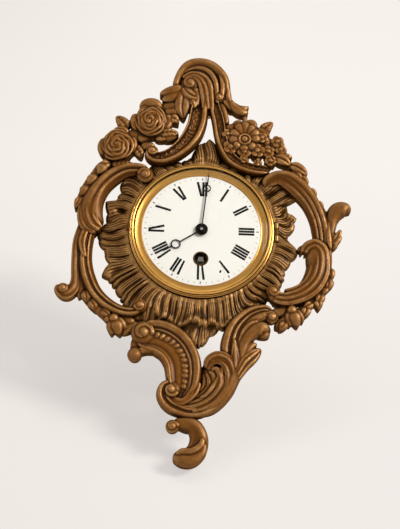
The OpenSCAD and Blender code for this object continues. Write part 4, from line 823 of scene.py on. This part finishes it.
c.bars(KEEL, 16, [
    [[72.4, -16.4, 1.2, 4.6], [76, -10.4, 2, 6], [83, -8, 2.2, 6.6], [89.2, -12.4, 2.3, 6.8],
     [91, -22, 2.4, 6.8], [89.8, -34, 2.6, 7], [83.4, -45.4, 2.6, 7], [73.6, -52.4, 2.4, 6.8],
     [62, -56, 2, 6.4], [52, -54.6, 1.4, 5.8]],
    [[75.4, -17.4, 1, 5], [78.4, -12.8, 1.7, 6], [83.4, -11.6, 1.9, 6.6], [86.8, -16, 2, 7],
     [87.4, -24.4, 2, 7.2], [85.4, -34.4, 2.1, 7.2], [79.6, -43.4, 2.1, 7.2], [71.2, -49.6, 1.9, 7],
     [61.4, -52.6, 1.6, 6.6], [53, -51.6, 1.1, 6]],
    [[78.6, -18.6, .9, 5], [80.6, -15.8, 1.5, 5.8], [83, -16.4, 1.6, 6.4], [84, -20.6, 1.7, 6.8],
     [83.6, -27.4, 1.8, 7], [81, -35.6, 1.8, 7], [75.8, -42.4, 1.7, 6.8], [68.8, -47, 1.6, 6.6],
     [60.8, -49.4, 1.3, 6.2], [55, -48.6, .9, 5.8]],
    [[78.8, -23, .8, 4.6], [80, -23.6, 1.2, 5.6], [79.8, -29, 1.4, 6], [77, -36, 1.4, 6],
     [72, -41.6, 1.3, 6], [66, -44.8, 1.2, 5.8], [60, -46.4, 1, 5.4]],
])
c.volute(52.4, -47, 5, 7, 10, 1)
c.stroke([[84, -10, 5, 4], [77, -11.5, 4, 2.6], [70, -13, 1.8, .6]], ROLL, 18)
c.leaves(LEAF, [(93, -27, 10, 3.4, 272, 4.6), (92, -35, 10, 4, 262, 5.2), (90.4, -41, 8, 3.4, 236, 5),
                (86.6, -46.6, 9.6, 3.8, 250, 5.2), (83, -51, 8.6, 3.4, 284, 5),
                (80.6, -53.6, 8.6, 3.4, 215, 5), (76, -57, 8.6, 3.8, 255, 5.2), (61, -69, 8, 3.4, 235, 5)])
c.bell(65.6, -61, 12, 288, 6.2)
c.make("right_scrolls", "right_scroll")

# Wide base scroll with its band of husks
c = Casting(7.2)
band = [[-46, -83, 7, 4.4], [-38.4, -83.6, 11.4, 6], [-27.4, -84.6, 13.2, 6.5], [-17.6, -90.6, 13.5, 6.5],
        [-11.6, -100.6, 13.3, 6.5], [-10.2, -112, 12.4, 6.5], [-11, -121, 10, 6.5], [-14, -127, 7, 6]]
c.stroke(band, BAND, 72)
HUSK_PITCH = 3.7
FIRST_HUSK = 12
AFTER_HUSKS = 6
spine, run = route(band, 0.5)
directions = heading(spine)
for place in np.arange(FIRST_HUSK, run[-1] - AFTER_HUSKS, HUSK_PITCH):
    i = int(np.searchsorted(run, place))
    here = spine[i, :2]
    ahead = directions[i]
    side = np.array([-ahead[1], ahead[0]]) * spine[i, 2]
    root = here - side * 0.2 - ahead * 2.4
    belly = here + side * rng.uniform(0.02, 0.1) + ahead * 0.6
    tip = here + side * 0.28 + ahead * rng.uniform(0.2, 1.2)
    c.stroke([[*root, .7, 4.2], [*belly, rng.uniform(1.5, 1.9), rng.uniform(5.3, 5.8)], [*tip, 1.4, 5.3]],
             KEEL, 12, step=0.4)
c.stroke([[-42, -84, 6, 4], [-43.5, -91, 4.4, 3.4], [-44.4, -97, 4.4, 2]], ROLL, 22)
c.ball(-44.4, -97.4, 5.3, 7.2)
c.stroke([[-28, -94, 2.6, 5.4], [-36, -93.4, 2.8, 6], [-42, -95.6, 2.4, 5.8]], ROLL, 18)
c.volute(-39.2, -81.4, 8.8, 7.6, -20, -1)
c.stroke([
    [19, -124, 1.4, 4.6], [13.6, -130.6, 2.4, 5.4], [6, -135, 3.8, 5.8], [-2, -136.8, 4.8, 6],
    [-9, -136.4, 5, 6.2], [-18.5, -132.5, 5.4, 6.5], [-23.5, -126, 5, 6.5], [-22.5, -120, 4.4, 6.5],
    [-17.5, -117.6, 3.6, 6.5]
], flip(SCROLL), 32)
c.disc(-17, -123, 9, 4, lambda s, a: 3 * s ** 4)
for k in range(3):
    c.stroke([[1.4 - 2.6 * k, -116 - k, 1.2, 5.4], [-1.4 - 2.4 * k, -124 - 0.6 * k, 1.6, 6.2],
              [-7.6 - 1.4 * k, -130 + 0.4 * k, 1.6, 6.2], [-14 - 0.4 * k, -131.6 + 1.6 * k, 1.4, 5.8],
              [-20, -129.4 + 1.8 * k, .8, 5]], KEEL, 16)
c.volute(-18.2, -122, 6.2, 7.8, -10, 1)
c.make("base_left", "base_scroll_left")

# Base stem with its acanthus leaves
c = Casting(7.1)
c.stroke([
    [-2, -133, 7.6, 5], [8, -130, 8, 6], [16, -121, 8.6, 6.5], [21.5, -110, 8.4, 6.5], [25, -99, 9.8, 6.5],
    [26.6, -88, 11.6, 6.5], [29.6, -77, 10.6, 6.5], [37, -67.5, 8.4, 6], [46, -63, 6.2, 5.5],
    [52, -64, 4.8, 4.5]
], STEM, 64)
c.volute(51, -66.4, 5, 6.2, 190, 1)
c.bars(ROLL, 20, [
    [[9, -118, 5, 2], [7.8, -107, 5.4, 3.2], [11.5, -98.5, 5, 4], [18, -99, 4.4, 4.6]],
    [[3.4, -103, 3, .6], [3.6, -113, 5, 1.6], [0, -124, 7, 1.6], [-6, -130, 6, 2.4], [-12, -132, 4, 2.4]],
])
c.bars(KEEL, 18, [
    [[5, -106, 1.6, 4.6], [7, -100, 3, 6.6], [13, -96.8, 3.8, 7.4], [19.6, -98.6, 3.5, 7.5],
     [23.2, -104, 2.8, 7.2], [24.4, -110, 2, 6.6], [23.6, -117, 1.4, 6.2]],
    [[6.4, -107, 1.4, 4.4], [9.6, -101.6, 2.4, 6], [14.4, -100.6, 2.6, 6.6], [18.8, -104, 2.5, 6.8],
     [20.6, -110.6, 2.4, 6.8], [19.8, -119, 2.2, 6.6], [15, -127, 2, 6.4], [6, -133.6, 1.6, 6],
     [-4, -137, 1.2, 5.4]],
    [[8.6, -106.6, 1.2, 4.6], [12.4, -106.2, 2, 5.8], [15, -110, 2.3, 6.4], [15.6, -116, 2.3, 6.4],
     [13.2, -122.6, 2.2, 6.2], [7, -129, 2, 6], [-2, -133, 1.6, 5.6], [-12, -133.6, 1, 4.8]],
    [[7, -107.6, 1.2, 3.8], [10, -109.4, 1.9, 4.8], [11.6, -115, 2, 5.2], [10.2, -121, 2, 5.2],
     [5, -126.4, 1.9, 5], [-2.4, -130, 1.6, 4.8], [-11, -131, 1.1, 4.2]],
    [[5.4, -108.4, 1.1, 3], [7.4, -112.4, 1.8, 3.9], [7.8, -117, 1.9, 4.2], [5.6, -121.4, 1.8, 4.2],
     [.4, -125.4, 1.7, 4], [-7, -127.8, 1.2, 3.6]],
    [[3.6, -109, 1, 2.2], [4.4, -114, 1.6, 3], [3.8, -118, 1.7, 3.2], [.8, -121.8, 1.6, 3.2],
     [-5, -124.6, 1.1, 2.8]],
    [[25.6, -108, 3.4, 6.6], [25.4, -100, 3.4, 7.4], [25, -92, 2.4, 7.4], [24.8, -84, .8, 6.6]],
    [[28.4, -86, .8, 6.4], [30.6, -79, 1.3, 7.2], [35.4, -73.2, 1.4, 7.4], [41.4, -70.4, .9, 6.8]],
])
c.stroke([[35, -76, 7, 5], [44, -75, 5.8, 5.5], [50, -78.5, 3, 4]], ROLL, 26)
c.bars(ROLL, 24, [
    [[28.6, -104, 1.6, 6.2], [30.4, -93, 3.2, 7], [33, -84.4, 4.2, 7.4], [38.4, -77.8, 5.2, 7.6],
     [44.4, -75.8, 5.6, 7.6], [48.6, -78.6, 4.2, 6.8]],
    [[29, -97, 8, 4], [37, -94.5, 6, 4], [44, -90, 1.6, 3]],
])
c.bars(ROLL, 16, [
    [[40, -79, 3, 5], [46, -79.4, 3.3, 5.8], [50, -79.4, 2.2, 4.8]],
    [[29.6, -103, 1.6, 6], [33, -93.4, 2.8, 6.4], [37, -88.4, 2.4, 5.8], [41, -87, .8, 4.6]],
    [[27.6, -113, 1.2, 5.6], [33.6, -103.4, 2.2, 5.4], [39, -98, 1.8, 4.6], [43, -93, .8, 3.6]],
])
c.stroke([[26, -111, 1.6, 6.4], [31, -100.4, 3, 6.8], [37.4, -94, 2.8, 6], [43, -90.4, 1, 4]], LEAF, 18)
c.make("base_right", "base_scroll_right")

# Foot scroll
c = Casting(7.0)
c.stroke([
    [-16.5, -146.2, 4.2, 5.4], [-9, -145, 4.8, 6], [-2, -147, 5.8, 6.4], [1.6, -154, 6.4, 6.5],
    [.6, -162, 7, 6.5], [-4, -167.7, 7.3, 6.5], [-10.4, -167.9, 6.7, 6.5], [-15.4, -165.8, 4.4, 6]
], ROLL, 36, to=HOOK)
c.stroke([[-8, -139.6, 10, 4], [-6.5, -144, 9, 4], [-4, -150, 6, 4]], ROLL, 24)
c.volute(-16.6, -147.4, 4.8, 7.2, -10, -1)
c.stroke([
    [-13.4, -167.4, 1.6, 7], [-9.6, -164.8, 2.4, 8], [-3, -164.4, 2.6, 8.2], [2.6, -160.4, 2.4, 7.8],
    [4.4, -155, 1.4, 7]
], ROLL, 18)
c.stroke([
    [-15.6, -168.2, 3.4, 6.8], [-10, -170.2, 4.4, 7.8], [-3, -170, 5, 8], [3, -165, 4, 7.4],
    [5, -158, 2, 6.8]
], ROLL, 22)
c.make("foot", "foot_scroll")

# Two roses and their leaves
c = Casting(7.0)
c.rose(-64, 65, 13.6, 7.6, 0.1, (-.16, -.1))
c.rose(-40.4, 86.6, 13.8, 7.8, 0.62, (-.1, -.06))
c.stroke([
    [-72, 54, 5, 3], [-62, 66, 6, 3], [-50, 78, 6, 3], [-40, 88, 6, 3], [-28, 76, 6, 4], [-19, 78, 3, 3]
], ROLL, 22)
c.stroke([[-58, 80, 5, 4], [-62, 86, 4.6, 4], [-67, 91, 1.4, 2]], LEAF, 22, veins=VEINS)
c.stroke([[-37, 74.6, 4.6, 4], [-31, 74, 3.6, 4], [-26, 75, 2.2, 3]], LEAF, 22, veins=VEINS)
c.bars(ROLL, 18, [
    [[-48, 66, 3.6, 1.6], [-42, 67, 3.6, 2], [-36.5, 67.6, 2.4, 2]],
    [[-33, 96.6, 3.4, 4.8], [-38, 101, 5.2, 6.2], [-44.4, 101, 4.6, 6], [-49, 97.4, 2, 4.4]],
    [[-51.6, 92.6, 2.6, 4.8], [-53, 86, 3.4, 5.4], [-50.4, 78, 2.8, 4.6]],
    [[-28, 93, 2.6, 4.6], [-26.8, 86, 3.2, 4.8], [-30, 79, 2.6, 4.4]],
    [[-73.6, 71, 3, 4.4], [-76, 64, 3.6, 5], [-74, 57, 2.6, 4]],
    [[-53.8, 72.6, 2.4, 4.6], [-52.4, 66, 3, 4.8], [-54.8, 59.4, 2.4, 4.2]],
    [[-68, 77, 2.4, 4.4], [-62, 78.6, 3.2, 4.8], [-56.6, 75.6, 2.4, 4.4]],
])
c.stroke([[-33, 76, 3, 4.6], [-26, 77.6, 3.4, 5], [-19, 77, 1.6, 4]], LEAF, 20, veins=VEINS)
c.bars(ROLL, 20, [
    [[-52, 72, 5, 3], [-45, 75, 5, 3], [-40, 78, 4, 3]],
    [[-32, 94, 6, 3], [-24, 96, 4, 3], [-18, 99, 3, 3]],
    [[-34, 97, 6, 2], [-26, 101, 6, 2.4], [-18, 102, 4, 3]],
])
c.stroke([[-69, 51, 4, 3], [-60, 49.6, 5, 3.4], [-52, 50.6, 3, 3]], ROLL, 20, veins=(3, .4, .5))
c.stroke([[-54, 66, 4, 3], [-49, 62, 4, 3], [-46, 57, 3, 2]], LEAF, 20, veins=VEINS)
c.leaf(-27, 91, 9, 4.2, 330, 5, LEAF, VEINS)
c.make("roses", "rose_spray")

# Flower bouquet and the leaf sprig that runs down from it
c = Casting(7.0)
daisy = (30.6, 72.8)
for turn, far in ((112, 15.6), (88, 16.4), (62, 15), (37, 14.4), (10, 13), (146, 14), (180, 12.6),
                  (218, 11), (268, 10.6), (318, 11.4)):
    rows = ((3.4, 2, 6), (0.62 * far, 3.5, 7), (0.88 * far, 3.1, 6.4), (far, 1.3, 4.8))
    c.stroke([[*polar(*daisy, d, math.radians(turn)), w, h] for d, w, h in rows], ROLL, 18, step=0.5)
c.disc(*daisy, 5, 7.8, lambda s, a: 1.6 * s ** 6 + 1.4 * np.exp(-((s - 0.58) / 0.15) ** 2),
       outward=18, around=40)
for x, y, r, petals in ((20, 66.6, 6, 5), (30.4, 63.2, 5.4, 5), (40.4, 64.6, 5.8, 5), (48.6, 64.4, 5, 5),
                        (30.6, 57, 3.6, 4), (40.8, 54.8, 3.2, 4), (50.2, 56.6, 4.6, 5),
                        (17.6, 77.4, 4.4, 4), (55.4, 73, 5, 5), (58, 66.4, 4.6, 5), (44, 75.6, 4.6, 5)):
    c.bloom(x, y, r, petals, 6.4 - 0.02 * x, x * 11)
for x, y, r in ((20, 68, 6.2), (41, 66, 6.4), (31, 65, 6), (48.5, 65, 5.2), (21, 82, 5.8), (43, 79, 7),
                (31, 76, 11), (55, 70, 6.4), (26, 86, 5), (35.6, 87, 5)):
    c.ball(x, y, r, 4.2, .4)
c.stroke([[44, 82, 6, 4], [48.5, 87, 3.8, 4], [52.5, 91, 1, 2]], LEAF, 22, veins=(2.6, .3, .7))
c.bars(ROLL, 16, [
    [[43, 74, 5.6, 4.6], [52, 73, 4.6, 4.6]],
    [[50, 65, 4, 3], [60, 59, 3, 3.6], [67, 52, 2.6, 3.4], [73, 43, 2.4, 3], [78, 34, 2.2, 3],
     [83, 25, 1.8, 2.8]],
])
c.leaves(LEAF, [(53, 60.6, 14, 5, 330, 5.6), (56, 60.4, 11, 2.8, 2, 4.6), (64.6, 54.4, 15.6, 4.4, 328, 5.4),
                (66, 49, 12, 3, 314, 5), (71.6, 44.4, 9, 3.4, 318, 5), (78, 34.6, 8.6, 3.2, 318, 4.8),
                (84, 25, 8, 2.8, 310, 4.4)])
c.make("bouquet", "flower_spray")

# Roman numerals, minute marks and one chip on the dial, as thin paint
HOURS = ["XII", "I", "II", "III", "IIII", "V", "VI", "VII", "VIII", "IX", "X", "XI"]
LETTER_WIDTH = {"I": 2.15, "V": 3.5, "X": 3.5}
FOOT = 27.2  # radius at the inner end of the numerals
HEAD = 38.8  # and at their outer end
# Bars of a letter: thick or not, place across and radius at both ends, and width at both ends
LETTER_BARS = {
    "I": [(1, 0, FOOT, 0, HEAD, 1.7, 1.7), (0, -0.9, FOOT, 0.9, FOOT, 0.14, 0.14),
          (0, -0.9, HEAD, 0.9, HEAD, 0.14, 0.14)],
    "V": [(1, -1.35, HEAD, 0.15, FOOT, 1.8, 1.4), (0, 1.35, HEAD, 0.3, FOOT + 0.2, 0.16, 0.16)],
    "X": [(1, -1.45, HEAD, 1.45, FOOT, 1.8, 1.8), (0, 1.45, HEAD, -1.45, FOOT, 0.16, 0.16)],
}
# The same for the other marks, without thick or not
HOUR_MARK = (0, 40.1, 0, 42, 0.6, 0.75)
MINUTE_MARK = (0, 40.6, 0, 41.8, 0.5, 0.5)
CHIP = (14, -32.9, 14.7, -30.9, 1.5, 1.1)  # near V, but given at the angle of XII
PAINT_THICK = 0.03
BAR_FACES = ((4, 6, 7, 5), (0, 4, 5, 1), (2, 3, 7, 6), (0, 2, 6, 4), (1, 5, 7, 3))


def marks():
    black, faint = [], []

    # A bar between two places across and outward at an angle of the dial, with its width at both
    def bar(store, angle, across0, out0, across1, out1, width0, width1):
        t = math.radians(angle)
        outward = np.array([math.sin(t), math.cos(t)])
        side = np.array([math.cos(t), -math.sin(t)])
        start = side * across0 + outward * out0
        end = side * across1 + outward * out1
        run = end - start
        normal = np.array([-run[1], run[0]]) / np.linalg.norm(run)
        for place, width in ((start, width0), (end, width1)):
            store += [place + normal * width / 2, place - normal * width / 2]

    for hour, word in enumerate(HOURS):
        at = -sum(LETTER_WIDTH[letter] for letter in word) / 2
        for letter in word:
            mid = at + LETTER_WIDTH[letter] / 2
            for thick, x0, r0, x1, r1, w0, w1 in LETTER_BARS[letter]:
                bar(black if thick else faint, 30 * hour, mid + x0, r0, mid + x1, r1, w0, w1)
            at += LETTER_WIDTH[letter]
    for minute in range(60):
        if minute % 5 == 0:
            bar(black, 6 * minute, *HOUR_MARK)
        else:
            bar(faint, 6 * minute, *MINUTE_MARK)
    bar(black, 0, *CHIP)
    for name, store, shade in (("dial_numerals", black, PAINT), ("dial_minute_marks", faint, FAINT)):
        co, faces = [], []
        for corners in np.array(store).reshape(-1, 4, 2):
            n = len(co)
            co += [[x / 1000, -(STAND + h) / 1000, y / 1000]
                   for h in (0.0, PAINT_THICK) for x, y in corners]
            faces += [[n + k for k in face] for face in BAR_FACES]
        piece(name, co, faces, shade, "case", sharp=20)


marks()

# Bezel with its beads, lift tab and hinge knuckle, and the sloped sight ring inside it
c = Casting(0)
c.lathe([(51.1, -.9), (52.8, -.9), (53, -.7), (53, 1.1), (52.92, 1.34), (52.75, 1.42), (52.5, 1.42),
         (52.42, 1.5), (52.4, 2.2), (52.32, 2.5), (52.14, 2.72), (51.94, 2.78), (51.74, 2.7), (51.6, 2.5),
         (51.56, 2.15), (51.5, 2.05), (51.32, 2.05), (51.26, 2.15), (51.22, 2.75), (51.12, 3.02),
         (50.9, 3.2), (50.6, 3.28), (50.3, 3.24), (50.04, 3.14), (49.82, 3), (49.64, 2.88), (49.64, 2.8),
         (51.1, 2.8)])
c.make("bezel", "bezel_ring", BRASS, "bezel_door", "brass", skin=0)
c = Casting(0)
c.block(51.4, 55.2, -2.9, 2.9, -.9, .6, .25)
c.lathe([(.8, -2.9), (1.35, -2.9), (1.5, -2.75), (1.5, 2.75), (1.35, 2.9), (.8, 2.9)], 40, (55.2, .6))
c.block(-54.6, -52.2, -2.5, 2.5, .95, 1.95, .3)
c.make("bezel_knuckle_and_tab", "bezel_ring", DULL_BRASS, "bezel_door", "brass", skin=0)
c = Casting(0)
c.lathe([(43.5, 0), (43.5, .28), (43.58, .38), (43.72, .42), (43.88, .38), (44.06, .24), (44.3, .13),
         (44.7, .1), (45.4, .14), (46.2, .25), (47, .43), (47.7, .65), (48.3, .88), (48.75, 1.04),
         (49.05, 1.08), (49.25, 1), (49.36, .84), (49.4, .6), (49.4, 0)])
c.make("sight_band", "sight_ring", SATIN, "case", "brass", skin=0)

# Materials of the CAD pieces that stay
TRAIN = ["intermediate", "centre", "third", "fourth", "escape"]
STAY = {
    BRASS: ["glass_ring"],
    DULL_BRASS: ["winding_grommet", "hinge_pin"],
    # Painted shade: the front plate, seen through the winding hole, in darkened brass
    HOLE_SHADE_BRASS: ["front_plate"],
    CASE_BRASS: ["drum", "rear_cap", "straps", "hanger"],
    SCREW: ["winding_arbor", "strap_screws", "hanger_screws", "pillar_screws"],
    PLAIN_BRASS: ["back_plate", "pillars", "barrel", "barrel_cap", "balance_wheel", "minute_wheel",
                  "hour_wheel"] + [part + "_wheel" for part in TRAIN],
    STEEL: ["mainspring", "click", "click_spring", "pallet_lever", "balance_staff", "hairspring",
            "regulator", "cannon_pinion"] + [part + "_arbor" for part in TRAIN],
    BLACK: ["hour_hand", "minute_hand", "hand_nut", "ratchet_wheel"],
    ENAMEL: ["dial"],
    GLASS: ["glass"],
}
for shade, names in STAY.items():
    for name in names:
        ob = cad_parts[name]
        ob.data.materials.clear()
        ob.data.materials.append(shade)


# Floor material: pale, brighter to the eye than it is lit, its glow dimmer to the left and towards the
# lower end as painted falloff of the light, and clear from below
def pale_floor():
    s = Shader("pale_floor")
    tint = s.blend(s.ramp(s.noise(3, 3), (0.3, 0), (0.7, 1)), srgb(221, 215, 210), srgb(218, 212, 207))
    s.surface({"Base Color": tint, "Roughness": 0.7, "Specular IOR Level": 0.1})
    x, _, z = s.parts("TexCoord", "Generated")
    # Painted falloff of the light: the glow is weaker to the left and towards the lower end, stronger
    # higher up
    strength = s.times(s.ramp(z, (0.47, 0.95), (0.6, 1.09)), s.ramp(x, (0.44, 0.86), (0.5, 1)))
    glow = s.node("Emission", srgb(246, 241, 237), strength).outputs[0]
    lit = s.mix(s.times(s.seen(), 0.62), s.tree.nodes["Principled BSDF"].outputs[0], glow)
    clear = s.node("BsdfTransparent").outputs[0]
    shown = s.mix(s.node("NewGeometry").outputs["Backfacing"], lit, clear)
    s.feed(s.tree.nodes["Material Output"].inputs["Surface"], shown)
    return s.owner


# The floor that the leaning clock stands on, its own plane tipped in the clock's frame
LEAN = math.radians(48)
REACH = 3.0
rise = Vector((0, -math.sin(LEAN), math.cos(LEAN)))
across = Vector((1, 0, 0)) * REACH
along = rise.cross(across)
contact = Vector((-0.008, -0.0265, -0.1757))
corners = [contact + across * a + along * b for a, b in ((-1, -1), (1, -1), (1, 1), (-1, 1))]
floor_mesh = bpy.data.meshes.new("floor")
floor_mesh.from_pydata([tuple(v) for v in corners], [], [(0, 1, 2, 3)])
floor_mesh.materials.append(pale_floor())
floor = bpy.data.objects.new("floor", floor_mesh)
scene.collection.objects.link(floor)


# Soft studio light
def lamp(name, kind, watts, place, facing):
    light = bpy.data.lights.new(name, kind)
    light.energy = watts
    ob = bpy.data.objects.new(name, light)
    ob.location = place
    ob.rotation_mode = "QUATERNION"
    ob.rotation_quaternion = facing.to_track_quat("-Z", "Y")
    scene.collection.objects.link(ob)
    return light


def panel(name, watts, place, size):
    light = lamp(name, "AREA", watts, place, Vector((0, -0.03, 0)) - Vector(place))
    light.shape = "RECTANGLE"
    light.size = size[0]
    light.size_y = size[1]


key = lamp("key", "SUN", 2.85, (0, 0, 0), Vector((-0.66, 0.7, -0.33)))
key.angle = math.radians(20)
key.color = (1, 0.985, 0.97)
panel("fill", 3, (-1.1, -0.9, 0.3), (0.5, 1.0))
panel("top", 3, (0.1, -0.7, 1.2), (1.0, 0.4))

# Room round the clock: warm below and cool above for the light, pale where it is seen
s = Shader("studio", bpy.data.worlds)
scene.world = s.owner
height = s.plus(s.times(s.parts("TexCoord", "Generated")[2], 0.5), 0.5)
light = s.ramp(height, (0.2, srgb(130, 108, 78)), (0.55, srgb(136, 131, 125)), (0.92, srgb(190, 188, 186)))
s.feed(s.tree.nodes["Background"].inputs["Color"], s.blend(s.seen(), light, srgb(243, 239, 235)))

scene.view_settings.view_transform = "Standard"
